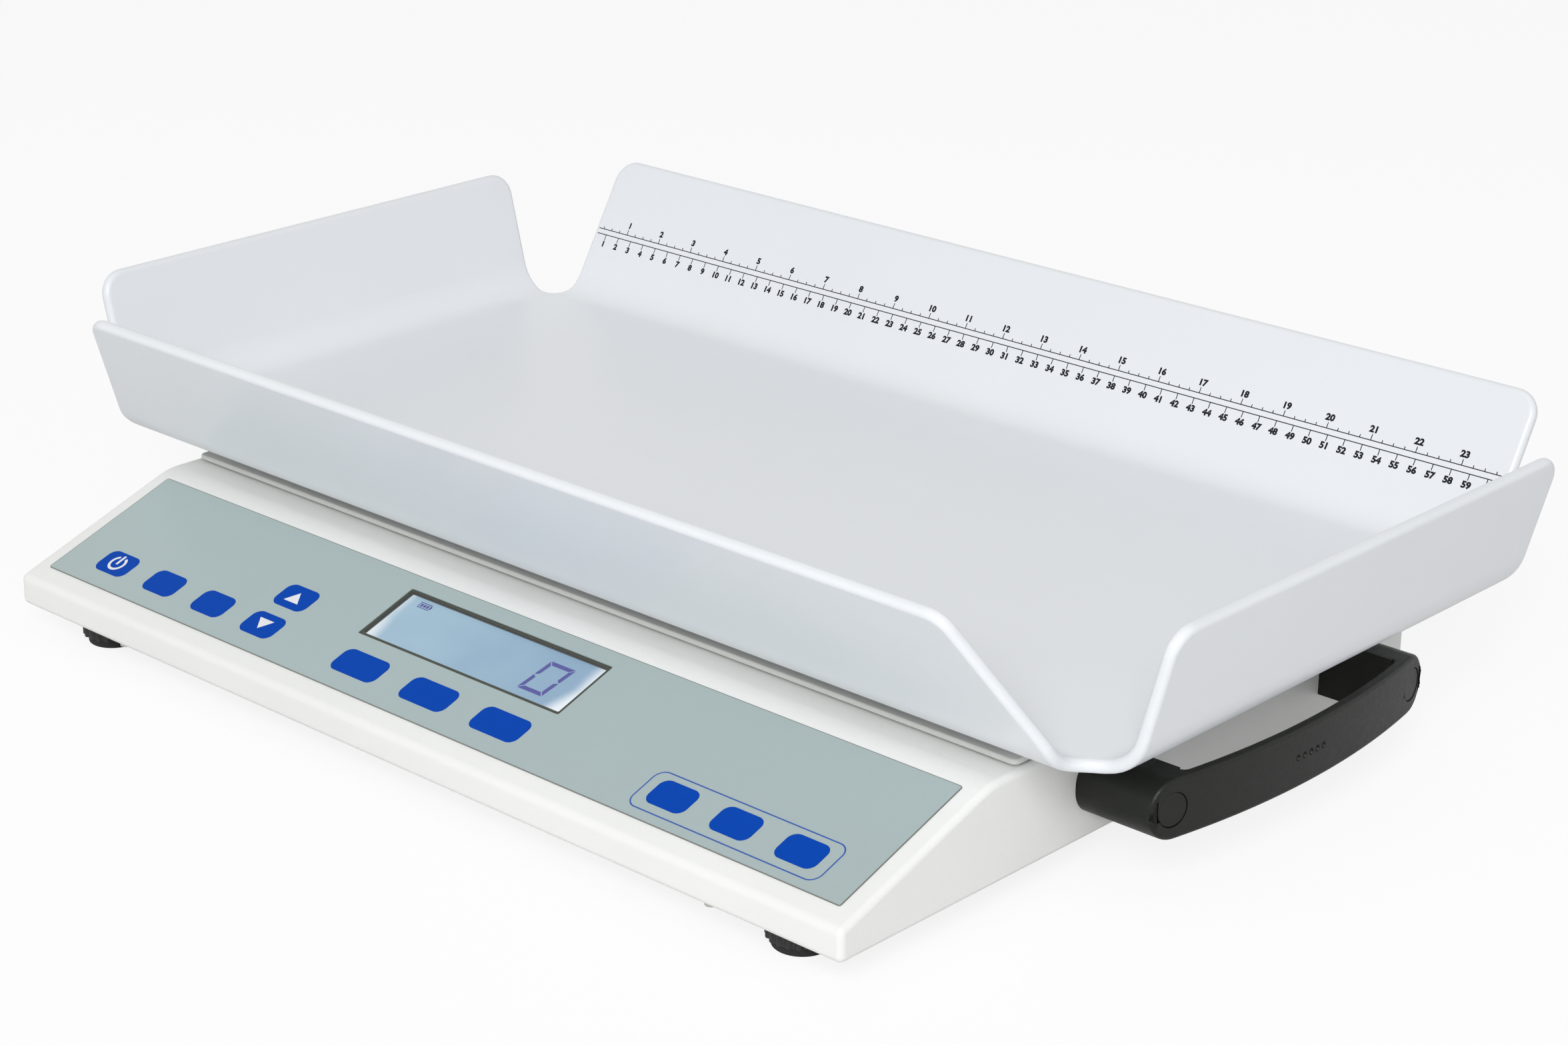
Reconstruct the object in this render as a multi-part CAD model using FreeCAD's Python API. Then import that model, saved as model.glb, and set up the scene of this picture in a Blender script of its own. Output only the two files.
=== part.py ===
import FreeCAD, Part
import os
from math import atan2, cos, degrees, pi, radians, sin, sqrt, tan

"""Digital baby weighing scale: folded-sheet base, load cell, platform, formed tray and bridge handles.

Millimetres, +Z up, +X to the right of the console, +Y to the back.
The origin is at the middle of the underside of the whole scale, on the surface it stands on.
"""

V = FreeCAD.Vector

# ---------------------------------------------------------------- driving sizes
# sheet metal housing
base_length = 547.0          # across X
base_depth = 401.0           # front face to back wall
front_height = 15.3          # upright front strip under the console
base_height = 48.1           # flat top behind the console
console_run = 92.6           # horizontal run of the sloping console
sheet_t = 1.5                # steel sheet
bend_r = 3.2                 # outside bend radius
crest_r = 34.0               # soft bend between console and flat top
flange_w = 12.0              # inward flange round the bottom
slit_w = 1.2                 # relief slit in each flange corner

# clearances
loose_gap = 0.3              # between parts that only pass one another
slide_gap = 0.15             # round a key in its opening
bore_gap = 0.05              # radial, shank or stud in its bore

# console label and keys
label_length = 526.8
label_front = 11.2           # from the front bend up the slope
label_height = 79.9
label_t = 0.5
key_w, key_h = 22.3, 15.3
wide_key_w = 30.2
key_r = 4.6
key_row = 28.9               # lower row, up the slope
key_step_up = 22.2           # from the lower to the upper row
menu_pitch, menu_x = 37.4, -229.4
tare_pitch, tare_x = 47.1, -47.0
feed_pitch, feed_x = 36.9, 153.9
key_proud = 0.15             # above the label
key_travel = 0.35
key_rim = 0.5                # hidden flange of a key, all round
switch_gap = key_travel + 0.15           # key nub to switch plunger

# display
window_w, window_h = 134.7, 36.4
window_front = 46.0          # lower edge, up the slope
window_lap = 1.3             # window behind the label, all round
bezel_w = 4.5                # black frame behind the window edge
glass_t = 1.1
light_t = 1.2
board_depth = 4.5            # from the housing skin to the board
board_t = 1.6
board_margin = 8.0           # label edge to board edge
switch_size = 6.0

# platform and load cell
plate_inset = 3.2            # from the housing sides
plate_front = 111.0          # from the front face
plate_back_inset = 2.4
plate_t = 1.5
plate_lip = 2.2              # folded edge height
cell_travel = 0.4            # platform sinks by this on its load cell before the stops
plate_gap = cell_travel + 0.5            # lip above the housing top
plate_r = 3.0
cell_length, cell_width, cell_height = 150.0, 40.0, 22.0
cell_pad = 44.0              # bolted length at each end
spacer_t = 3.0
cell_gap = cell_travel + 0.1             # under the moving spacer
channel_h = 6.0              # cross member under the cell
channel_t = 2.0
frame_h = 7.0                # H-frame under the platform
frame_t = 2.0
frame_bar = 26.0
post_x, post_y = 205.0, 98.0
post_r = 6.0
post_hole_r = 9.0
stop_r = 5.0
stop_gap = cell_travel + 0.05

# tray
tray_t = 6.0
tray_lift = 8.0              # tray underside above the platform
end_rim_half, side_rim_half = 346.7, 200.7         # middle of the rims from the tray's centre
end_rim_height, side_rim_height = 131.4, 135.4     # middle of the rims above the housing's lower edge
end_flare, side_flare = 14.8, 30.3       # degrees out from upright
tray_bend_r = 26.5           # outside of the floor bends
side_flap_half = 305.5       # half length of the front and back flaps
end_flap_half = 144.0        # half length of the end flaps
front_taper = 30.0           # the front flap is shorter by this at each end of its rim
taper_run = 72.5             # from the rim down to where that taper starts
taper_r = 20.0               # soft start of the taper
back_notch_r, front_notch_r = 16.0, 14.0
flap_corner_r = 13.0
edge_round = 0.45            # of the sheet's thickness, on each side of an edge
pad_r = 12.0
cup_wall = 4.0
cup_depth = 5.0
cup_gap = 0.5

# handles
handle_from_back = 150.5     # handle centre to the back wall
handle_span = 180.6          # between the cap centres
leg_w = 22.0
handle_reach = 42.5          # wall to outer face at the caps
handle_bow = 9.0             # extra reach in the middle
grip_t = 11.0
grip_skin = 3.6
grip_rim = 3.0
handle_h = 28.5
handle_z = 26.8              # centre above the housing's lower edge
leg_round = 9.5
inner_round = 9.0
cap_r = 8.6
cap_t = 2.4
recess_depth = 13.0
handle_bolt_r = 3.0

# feet
foot_x, foot_inset = 231.0, 24.0
foot_height = 14.0           # sole to the housing's lower edge
sole_r, sole_t = 13.0, 4.0
knob_r, knob_h = 15.5, 8.0
stud_r = 4.0
foot_travel = 6.0            # the knob screws down by this
stud_top = foot_travel + 7.0             # above the housing's lower edge
bush_r, bush_h = 8.0, 8.0
rib_count = 20
rib_depth = 1.1

# base plate, battery bay and socket
plate_fit = 0.4              # base plate edge to the housing wall
bay_x, bay_y = 172.0, 150.0  # battery bay centre: from the middle, from the back wall
cell_r, cell_len = 7.15, 50.0            # one battery
bay_rows, bay_cols = 2, 2
bay_wall = 1.5
door_t = 2.0
door_overlap = 4.0
rail_w = 4.0
rail_t = 1.5
jack_x, jack_z = -190.0, 22.0
jack_r, jack_len = 5.5, 15.0
screw_r, screw_head_r, screw_head_h = 1.5, 3.0, 1.8
screw_cols, screw_rows = 2, 1

# ---------------------------------------------------------------- derived places
z0 = foot_height                          # housing's lower edge
tilt = atan2(base_height - front_height, console_run)
plate_depth = base_depth - plate_front - plate_back_inset
plate_top = z0 + base_height + plate_gap + plate_lip
tray_under = plate_top + tray_lift
end_rim_z, side_rim_z = z0 + end_rim_height, z0 + side_rim_height
front_reach = plate_front + plate_depth / 2                    # front face to tray centre
edge_r = tray_t * edge_round                                   # radius along every edge of the tray
side_lean = radians(side_flare)
back_reach = side_rim_half + tray_t / 2 * cos(side_lean) - edge_r * (cos(side_lean) + sin(side_lean) - 1)
y_front = -(front_reach + back_reach) / 2                       # front face in the model frame
y_back = y_front + base_depth
tray_y = y_front + plate_front + plate_depth / 2
half_l = base_length / 2
handle_y = y_back - handle_from_back
handle_mid_z = z0 + handle_z
floor_z = z0 + sheet_t                    # top of the flange: the base plate lies on it
deck_z = floor_z + sheet_t                # top of the base plate
cell_z = deck_z + channel_h + spacer_t
frame_z = cell_z + cell_height + cell_gap + spacer_t
bay_mid = V(bay_x, y_back - bay_y, 0)


# ---------------------------------------------------------------- helpers
def box(x0, x1, y0, y1, za, zb):
    return Part.makeBox(x1 - x0, y1 - y0, zb - za, V(x0, y0, za))


def rod(radius, start, end):
    """Solid cylinder from start to end."""
    axis = end - start
    return Part.makeCylinder(radius, axis.Length, start, axis)


def rounded_outline(corners, radii):
    """Closed wire through 3-D corner points in one plane, each corner rounded by its own radius."""
    count = len(corners)
    runs = []
    for i, corner in enumerate(corners):
        back = (corners[i - 1] - corner).normalize()
        ahead = (corners[(i + 1) % count] - corner).normalize()
        half = back.getAngle(ahead) / 2
        radius = radii[i]
        if radius < 1e-6:
            runs.append((corner, None, corner))
            continue
        reach = radius / tan(half)
        middle = corner + (back + ahead).normalize() * (radius / sin(half) - radius)
        runs.append((corner + back * reach, middle, corner + ahead * reach))
    edges = []
    for i, (start, middle, end) in enumerate(runs):
        if middle is not None:
            edges.append(Part.Arc(start, middle, end).toShape())
        following = runs[(i + 1) % count][0]
        if (following - end).Length > 1e-6:
            edges.append(Part.makeLine(end, following))
    return Part.Wire(edges)


def prism(corners, radii, along):
    """Solid swept from a rounded outline by the vector along."""
    return Part.Face(rounded_outline(corners, radii)).extrude(along)


def pill(cx, cy, w, h, r, za, zb):
    """Upright block with a rounded-rectangle plan."""
    x0, x1, y0, y1 = cx - w / 2, cx + w / 2, cy - h / 2, cy + h / 2
    return prism([V(x0, y0, za), V(x1, y0, za), V(x1, y1, za), V(x0, y1, za)], [r] * 4, V(0, 0, zb - za))


def hexagon(corner, start, along):
    """Six-sided solid from start, with this corner radius, along one of the axes."""
    turn = FreeCAD.Rotation(V(0, 0, 1), along)
    ring = [start + turn.multVec(V(corner * cos(k * pi / 3), corner * sin(k * pi / 3), 0)) for k in range(6)]
    return prism(ring, [0] * 6, along)


def fuse(shapes):
    return shapes[0].multiFuse(shapes[1:]).removeSplitter() if len(shapes) > 1 else shapes[0]


def cut(shape, tools):
    return shape.cut(Part.makeCompound(tools)) if tools else shape


def on_console(shape):
    """Carries a shape drawn with X across, Y up the slope and Z out of the console onto the console."""
    placed = shape.copy()
    placed.Placement = FreeCAD.Placement(
        V(0, y_front, z0 + front_height), FreeCAD.Rotation(V(1, 0, 0), degrees(tilt)))
    return placed


def mirrored(shape):
    return shape.mirror(V(0, 0, 0), V(1, 0, 0))


def save(name, shape):
    shape.exportStep(os.path.join("parts", name + ".step"))


# ---------------------------------------------------------------- key layout
def key_layout():
    """Name, centre across, centre up the slope and width of each key."""
    upper = key_row + key_step_up
    keys = []
    for i, name in enumerate(("power", "unit", "enter", "down")):
        keys.append(("key_" + name, menu_x + i * menu_pitch, key_row, key_w))
    keys.append(("key_up", menu_x + 3 * menu_pitch, upper, key_w))
    for i, name in enumerate(("tare", "clear", "hold")):
        keys.append(("key_" + name, tare_x + i * tare_pitch, key_row, wide_key_w))
    for i, name in enumerate(("before", "after", "amount")):
        keys.append(("key_" + name, feed_x + i * feed_pitch, key_row, key_w))
    return keys


# ---------------------------------------------------------------- housing
def console_section(skin, x):
    """Corners and radii of the housing section, moved inward by skin, in the plane at x."""
    slope_drop = skin / cos(tilt)
    top = z0 + base_height - skin
    bend_z = z0 + front_height + skin * tan(tilt) - slope_drop
    crest_y = (base_height - front_height - skin + slope_drop) / tan(tilt)
    corners = [
        V(x, y_front + skin, z0 + skin), V(x, y_front + skin, bend_z),
        V(x, y_front + crest_y, top), V(x, y_back - skin, top), V(x, y_back - skin, z0 + skin)]
    small = max(bend_r - skin, 0.4)
    return corners, [small, small, crest_r - skin, small, small]


def housing_block(skin):
    """The housing's outside (skin 0), with rounded ends, or its inside (skin = sheet) as a solid."""
    length = base_length - 2 * skin
    corners, radii = console_section(skin, -length / 2)
    block = prism(corners, radii, V(length, 0, 0))
    if skin:
        return block
    return block.makeFillet(bend_r, [e for e in block.Edges if e.BoundBox.XLength < 1e-6])


def screw_places():
    """Screws through the bottom flange, spread along its four sides."""
    x = half_l - flange_w / 2
    ya, yb = y_front + flange_w / 2, y_back - flange_w / 2
    inner = half_l * 0.72
    places = []
    for i in range(screw_cols):
        px = -inner + 2 * inner * i / (screw_cols - 1)
        places += [V(px, ya, 0), V(px, yb, 0)]
    for i in range(screw_rows):
        py = ya + (yb - ya) * (i + 1) / (screw_rows + 1)
        places += [V(-x, py, 0), V(x, py, 0)]
    return places


def post_places():
    return [V(sx * post_x, tray_y + sy * post_y, 0) for sx in (-1, 1) for sy in (-1, 1)]


def foot_places():
    front, back = y_front + foot_inset, y_back - foot_inset
    return [("fl", V(-foot_x, front, 0)), ("fr", V(foot_x, front, 0)),
            ("bl", V(-foot_x, back, 0)), ("br", V(foot_x, back, 0))]


def bolt_places():
    """Handle bolt axes on the right-hand wall."""
    return [V(half_l, handle_y + side * handle_span / 2, handle_mid_z) for side in (-1, 1)]


def make_housing():
    shell = housing_block(0).cut(housing_block(sheet_t))
    tools = [box(-half_l + flange_w, half_l - flange_w, y_front + flange_w, y_back - flange_w,
                 z0 - 1, floor_z + 0.5)]
    for sx in (-1, 1):
        x = sx * (half_l - flange_w)
        for y in (y_front + sheet_t + bend_r / 2, y_back - flange_w - 1):
            tools.append(box(x - slit_w / 2, x + slit_w / 2, y, y + flange_w + 1 - sheet_t - bend_r / 2,
                             z0 - 1, floor_z + 0.5))
    for place in screw_places():
        tools.append(rod(screw_r + bore_gap, V(place.x, place.y, z0 - 1), V(place.x, place.y, floor_z + 0.5)))
    for place in post_places():
        top = z0 + base_height
        tools.append(rod(post_hole_r, V(place.x, place.y, top - 3), V(place.x, place.y, top + 1)))
    for place in bolt_places():
        for sx in (-1, 1):
            tools.append(rod(handle_bolt_r + bore_gap, V(sx * (half_l - 6), place.y, place.z),
                             V(sx * (half_l + 1), place.y, place.z)))
    jack = V(jack_x, y_back - 4, z0 + jack_z)
    tools.append(rod(jack_r + bore_gap, jack, jack + V(0, 6, 0)))
    for _, x, s, w in key_layout():
        half_w, half_h = w / 2 + key_rim + slide_gap, key_h / 2 + key_rim + slide_gap
        tools.append(on_console(box(x - half_w, x + half_w, s - half_h, s + half_h, -4, 1)))
    half_w, low = window_w / 2 + window_lap + slide_gap, window_front - window_lap - slide_gap
    tools.append(on_console(box(-half_w, half_w, low, low + window_h + 2 * (window_lap + slide_gap), -4, 1)))
    return cut(shell, tools)


def make_base_plate():
    edge = max(bend_r, sheet_t) + plate_fit
    plate = pill(0, (y_front + y_back) / 2, base_length - 2 * edge, base_depth - 2 * edge, 2.0,
                 floor_z, deck_z)
    w, d = bay_size()
    tools = [box(bay_mid.x - w / 2, bay_mid.x + w / 2, bay_mid.y - d / 2, bay_mid.y + d / 2,
                 floor_z - 1, deck_z + 1)]
    for place in screw_places():
        tools.append(rod(screw_r + bore_gap, V(place.x, place.y, floor_z - 1), V(place.x, place.y, deck_z + 1)))
    for _, place in foot_places():
        tools.append(rod(stud_r + loose_gap, V(place.x, place.y, floor_z - 1), V(place.x, place.y, deck_z + 1)))
    return cut(plate, tools)


def make_housing_screws():
    screws = []
    for p in screw_places():
        head = rod(screw_head_r, V(p.x, p.y, z0 - screw_head_h), V(p.x, p.y, z0))
        screws.append(head.fuse(rod(screw_r, V(p.x, p.y, z0 - 0.2), V(p.x, p.y, deck_z + 1.5))))
    return screws


# ---------------------------------------------------------------- console parts
def make_label():
    middle = label_front + label_height / 2
    label = pill(0, middle, label_length, label_height, 1.2, 0, label_t)
    tools = [pill(0, window_front + window_h / 2, window_w, window_h, 1.0, -1, 1 + label_t)]
    for _, x, s, w in key_layout():
        tools.append(pill(x, s, w + 2 * slide_gap, key_h + 2 * slide_gap, key_r + slide_gap,
                          -1, 1 + label_t))
    return on_console(cut(label, tools))


def make_key(x, s, w):
    """A key: cap through the label, hidden flange behind it and a nub for its switch."""
    cap = pill(x, s, w, key_h, key_r, -0.6, label_t + key_proud)
    half_w, half_h = w / 2 + key_rim, key_h / 2 + key_rim
    rim = box(x - half_w, x + half_w, s - half_h, s + half_h, -sheet_t + 0.3, -bore_gap)
    nub = box(x - 2, x + 2, s - 2, s + 2, -sheet_t, -0.3)
    return on_console(fuse([cap, rim, nub]))


def make_window():
    half, low, high = window_w / 2 + window_lap, window_front - window_lap, window_front + window_h + window_lap
    return on_console(box(-half, half, low, high, -sheet_t, 0))


def make_display():
    """Display glass in its black frame, and the light guide behind it."""
    middle = window_front + window_h / 2
    w, h = window_w - 2 * 1.4, window_h - 2 * 1.4
    top = -sheet_t - loose_gap
    deep = -board_depth
    frame = pill(0, middle, window_w + 2 * bezel_w, window_h + 2 * bezel_w, 2.0, deep, top)
    opening = pill(0, middle, w, h, 0.5, deep - 1, top + 1)
    glass = pill(0, middle, w - 0.1, h - 0.1, 0.45, top - glass_t, top - 0.1)
    guide = pill(0, middle, w - 0.1, h - 0.1, 0.45, max(deep, top - glass_t - light_t), top - glass_t)
    return on_console(frame.cut(opening)), on_console(glass), on_console(guide)


def board_outline():
    """Half length and the two edges up the slope of the circuit board."""
    return label_length / 2 - board_margin, label_front + 4, label_front + label_height - board_margin


def standoff_places():
    half, low, high = board_outline()
    return [V(side * (half - 6), s, 0) for side in (-1, 1) for s in (low + 5, high - 5)]


def make_board():
    half, low, high = board_outline()
    board = pill(0, (low + high) / 2, 2 * half, high - low, 2.0, -board_depth - board_t, -board_depth)
    tools = [rod(1.35, V(p.x, p.y, -board_depth - 5), V(p.x, p.y, 0)) for p in standoff_places()]
    chip_z = -board_depth - board_t
    chips = [box(-20, -6, 40, 54, chip_z - 1.6, chip_z), box(60, 84, 60, 68, chip_z - 2.4, chip_z)]
    return on_console(fuse([cut(board, tools)] + chips))


def make_standoffs():
    """Hexagon standoffs under the console and the screws that hold the board against them."""
    posts, screws = [], []
    for p in standoff_places():
        posts.append(on_console(hexagon(3.4, V(p.x, p.y, -board_depth), V(0, 0, board_depth - sheet_t))))
        under = -board_depth - board_t
        screw = rod(2.7, V(p.x, p.y, under - 1.6), V(p.x, p.y, under)).fuse(
            rod(1.3, V(p.x, p.y, under - 0.1), V(p.x, p.y, -board_depth)))
        screws.append(on_console(screw))
    return posts, screws


def make_switches():
    """One switch under each key: square body and square plunger."""
    plunger_top = -sheet_t - switch_gap
    switches = []
    for _, x, s, _ in key_layout():
        half = switch_size / 2
        body = box(x - half, x + half, s - half, s + half, -board_depth, plunger_top - 0.5)
        plunger = box(x - 1.5, x + 1.5, s - 1.5, s + 1.5, plunger_top - 0.6, plunger_top)
        switches.append(on_console(body.fuse(plunger)))
    return switches


# ---------------------------------------------------------------- load cell and platform
def make_cross_member():
    """Hat channel on the base plate that carries the fixed end of the load cell."""
    width, length = cell_width + 8, cell_length + 60
    low, high = deck_z, deck_z + channel_h
    outer = box(-length / 2, length / 2, tray_y - width / 2, tray_y + width / 2, low, high)
    tunnel = box(-length / 2 - 1, length / 2 + 1, tray_y - width / 2 + channel_t,
                 tray_y + width / 2 - channel_t, low - 1, high - channel_t)
    brims = [box(-length / 2, length / 2, tray_y + s * (width / 2 + 6) - 6, tray_y + s * (width / 2 + 6) + 6,
                 low, low + channel_t) for s in (-1, 1)]
    return fuse([outer.cut(tunnel)] + brims)


def cell_end(side):
    """Middle of one bolted end of the load cell."""
    return side * (cell_length - cell_pad) / 2


def cell_bolts(side):
    x = cell_end(side)
    return [V(x + dx, tray_y, 0) for dx in (-cell_pad / 4, cell_pad / 4)]


def make_load_cell():
    """Single-point cell: a bar thinned by two joined round bores on each level."""
    bar = box(-cell_length / 2, cell_length / 2, tray_y - cell_width / 2, tray_y + cell_width / 2,
              cell_z, cell_z + cell_height)
    mid_z = cell_z + cell_height / 2
    bore = cell_height * 0.36
    reach = (cell_length - 2 * cell_pad) / 2 - bore - 2
    y0, y1 = tray_y - cell_width / 2 - 1, tray_y + cell_width / 2 + 1
    tools = [rod(bore, V(s * reach, y0, mid_z), V(s * reach, y1, mid_z)) for s in (-1, 1)]
    tools.append(box(-reach, reach, y0, y1, mid_z - bore * 0.45, mid_z + bore * 0.45))
    for side in (-1, 1):
        for p in cell_bolts(side):
            tools.append(rod(screw_r * 2 + bore_gap, V(p.x, p.y, cell_z - 1), V(p.x, p.y, cell_z + cell_height + 1)))
    return cut(bar, tools)


def make_cell_spacers():
    """Lower spacer at the fixed end; upper spacer, on the moving frame, at the free end."""
    half_y = cell_width / 2
    lower = box(cell_end(-1) - cell_pad / 2, cell_end(-1) + cell_pad / 2, tray_y - half_y, tray_y + half_y,
                cell_z - spacer_t, cell_z)
    upper = box(cell_end(1) - cell_pad / 2, cell_end(1) + cell_pad / 2, tray_y - half_y, tray_y + half_y,
                frame_z - spacer_t, frame_z)
    bores = [rod(screw_r * 2 + bore_gap, V(p.x, p.y, cell_z - 10), V(p.x, p.y, cell_z + 1))
             for p in cell_bolts(-1)]
    return cut(lower, bores), upper


def make_cell_screws():
    """Bolts down through the fixed end into the spacer."""
    r = screw_r * 2
    top = cell_z + cell_height
    return [hexagon(r * 1.8, V(p.x, p.y, top), V(0, 0, 0.9)).fuse(
        rod(r, V(p.x, p.y, cell_z - spacer_t), V(p.x, p.y, top + 0.1))) for p in cell_bolts(-1)]


def make_frame():
    """H-shaped pressed frame inside the housing that joins the load cell to the four platform posts."""
    half = frame_bar / 2
    low, high = frame_z, frame_z + frame_h
    parts = []
    for sx in (-1, 1):
        parts.append(box(sx * post_x - half, sx * post_x + half, tray_y - post_y - half,
                         tray_y + post_y + half, low, high))
    parts.append(box(-post_x, post_x, tray_y - half * 1.4, tray_y + half * 1.4, low, high))
    solid = fuse(parts)
    t = frame_t
    hollow = []
    for sx in (-1, 1):
        hollow.append(box(sx * post_x - half + t, sx * post_x + half - t, tray_y - post_y - half + t,
                          tray_y + post_y + half - t, low + t, high + 1))
    hollow.append(box(-post_x, post_x, tray_y - half * 1.4 + t, tray_y + half * 1.4 - t, low + t, high + 1))
    frame = solid.cut(fuse(hollow))
    seats = [rod(post_r + 2, V(p.x, p.y, low + t), V(p.x, p.y, high)) for p in post_places()]
    return fuse([frame] + seats)


def make_posts():
    under = plate_top - plate_t
    return [rod(post_r, V(p.x, p.y, frame_z + frame_h), V(p.x, p.y, under)) for p in post_places()]


def make_stops():
    """Overload stops on the base plate under the ends of the frame."""
    top = frame_z - stop_gap
    stops = []
    for p in post_places():
        y = p.y + (1 if p.y > tray_y else -1) * 2
        column = hexagon(stop_r, V(p.x, y, deck_z), V(0, 0, top - 3 - deck_z))
        stops.append(column.fuse(hexagon(stop_r * 0.7, V(p.x, y, top - 3), V(0, 0, 3))))
    return stops


def make_platform():
    """Pressed platform cover: flat plate with a short folded lip."""
    w, d = base_length - 2 * plate_inset, plate_depth
    slab = pill(0, tray_y, w, d, plate_r, plate_top - plate_lip, plate_top)
    top = [e for e in slab.Edges if e.BoundBox.ZMin > plate_top - 1e-3]
    slab = slab.makeFillet(0.9, top)
    inside = pill(0, tray_y, w - 2 * plate_t, d - 2 * plate_t, plate_r - plate_t,
                  plate_top - plate_lip - 1, plate_top - plate_t)
    return slab.cut(inside)


def make_pads():
    """Rubber seats on the platform that the tray stands on."""
    pads = []
    for p in post_places():
        pads.append(rod(pad_r, V(p.x, p.y, plate_top), V(p.x, p.y, tray_under)))
    return pads


# ---------------------------------------------------------------- tray
def sheet_section(rim_half, rim_z, flare, place):
    """Corners and radii of the bent sheet: floor and two flared flaps; place maps (across, height)."""
    lean = radians(flare)
    slope = tan(lean)
    across = tray_t / 2 / cos(lean)
    top, low = rim_z, tray_under

    def outer(z):
        return rim_half + across - slope * (top - z)

    def inner(z):
        return rim_half - across - slope * (top - z)

    rise = tray_t / 2 * sin(lean)
    half_turn = tray_t / 2 * cos(lean)
    tip_out = (rim_half + half_turn, top - rise)
    tip_in = (rim_half - half_turn, top + rise)
    points = [(-tip_out[0], tip_out[1]), (-outer(low), low), (outer(low), low), tip_out,
              tip_in, (inner(low + tray_t), low + tray_t), (-inner(low + tray_t), low + tray_t),
              (-tip_in[0], tip_in[1])]
    bend, inside = tray_bend_r, tray_bend_r - tray_t
    radii = [0, bend, bend, 0, 0, inside, inside, 0]
    return [place(a, z) for a, z in points], radii


def floor_half(rim_half, rim_z, flare):
    """Half width of the flat floor between the bends."""
    lean = radians(flare)
    corner = rim_half + tray_t / 2 / cos(lean) - tan(lean) * (rim_z - tray_under)
    return corner - tray_bend_r * tan((pi / 2 - lean) / 2)


def corner_shell(sx, sy, flat_x, flat_y):
    """Quarter of a bowl that carries both bends round one corner of the flat floor."""
    centre = V(sx * flat_x, tray_y + sy * flat_y, tray_under + tray_bend_r)
    axis = V(-sy, sx, 0)
    bowl = Part.makeSphere(tray_bend_r, centre, axis).cut(Part.makeSphere(tray_bend_r - tray_t, centre, axis))
    far = 2 * tray_bend_r
    keep = Part.makeBox(far, far, tray_bend_r / 2,
                        V(centre.x - (far if sx < 0 else 0), centre.y - (far if sy < 0 else 0), tray_under))
    return bowl.common(keep)


def notch_tool(sx, sy):
    """Upright tool that leaves a round-bottomed notch between two flaps at one corner."""
    far = 150.0
    points = [V(sx * (side_flap_half + x), tray_y + sy * (end_flap_half + y), tray_under - 5)
              for x, y in ((0, 0), (far, 0), (far, far), (0, far))]
    return prism(points, [back_notch_r if sy > 0 else front_notch_r, 0, 0, 0], V(0, 0, side_rim_height))


def taper_tool(sx):
    """Tool square to the front flap that slants its end, from the rim down to the bend."""
    lean, far, soft = radians(side_flare), 50.0, 0.22 * taper_r
    down, normal = V(0, sin(lean), -cos(lean)), V(0, cos(lean), sin(lean))
    start = V(0, tray_y - side_rim_half, side_rim_z) - normal * 2 * tray_t
    rim_x = side_flap_half - front_taper
    points = [start + V(sx * x, 0, 0) + down * h for x, h in (
        (rim_x - front_taper * far / taper_run, -far), (side_flap_half, taper_run), (side_flap_half, taper_run + soft),
        (side_flap_half + far, taper_run + soft), (side_flap_half + far, -far))]
    return prism(points, [0, taper_r, 0, 0, 0], normal * 4 * tray_t)


def sharp_edges(shape, least=20.0):
    """Edges whose two faces meet at more than the least angle in degrees."""
    found = []
    for edge in shape.Edges:
        faces = shape.ancestorsOfType(edge, Part.Face)
        if len(faces) != 2:
            continue
        point = edge.valueAt((edge.FirstParameter + edge.LastParameter) / 2)
        normals = [f.normalAt(*f.Surface.parameter(point)) for f in faces]
        if degrees(normals[0].getAngle(normals[1])) > least:
            found.append(edge)
    return found


def make_tray():
    """Sheet formed on four straight bends, notched at the corners, with every edge rounded over."""
    end_rim, side_rim = (end_rim_half, end_rim_z, end_flare), (side_rim_half, side_rim_z, side_flare)
    flat_x, flat_y = floor_half(*end_rim), floor_half(*side_rim)
    pts, radii = sheet_section(*end_rim, lambda a, z: V(a, tray_y - flat_y, z))
    ends = prism(pts, radii, V(0, 2 * flat_y, 0))
    pts, radii = sheet_section(*side_rim, lambda a, z: V(-flat_x, tray_y + a, z))
    sides = prism(pts, radii, V(2 * flat_x, 0, 0))
    places = [(sx, sy) for sx in (-1, 1) for sy in (-1, 1)]
    tray = ends.multiFuse([sides] + [corner_shell(sx, sy, flat_x, flat_y) for sx, sy in places])
    tools = [notch_tool(sx, sy) for sx, sy in places] + [taper_tool(sx) for sx in (-1, 1)]
    tray = tray.cut(Part.makeCompound(tools)).removeSplitter()
    tray = max(tray.Solids, key=lambda s: s.Volume)
    corners = [e for e in tray.Edges
               if abs(e.Length - tray_t) < 0.3 and e.BoundBox.ZMax > end_rim_z - tray_t]
    tray = tray.makeFillet(flap_corner_r, corners)
    return tray.makeFillet(edge_r, sharp_edges(tray))


def make_cups():
    """Rings under the tray floor that drop over the rubber seats."""
    rings = []
    for p in post_places():
        outer = rod(pad_r + cup_gap + cup_wall, V(p.x, p.y, tray_under - cup_depth), V(p.x, p.y, tray_under))
        inner = rod(pad_r + cup_gap, V(p.x, p.y, tray_under - cup_depth - 1), V(p.x, p.y, tray_under + 1))
        rings.append(outer.cut(inner))
    return rings


# ---------------------------------------------------------------- handles
def bow_radius():
    half = handle_span / 2
    return (half * half + handle_bow * handle_bow) / (2 * handle_bow)


def bow_x(reach, y):
    """X of the bowed outer face, set back by reach, at a distance y from the handle's middle."""
    radius = bow_radius() - reach
    centre = half_l + handle_reach + handle_bow - bow_radius()
    return centre + sqrt(radius * radius - y * y)


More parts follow.
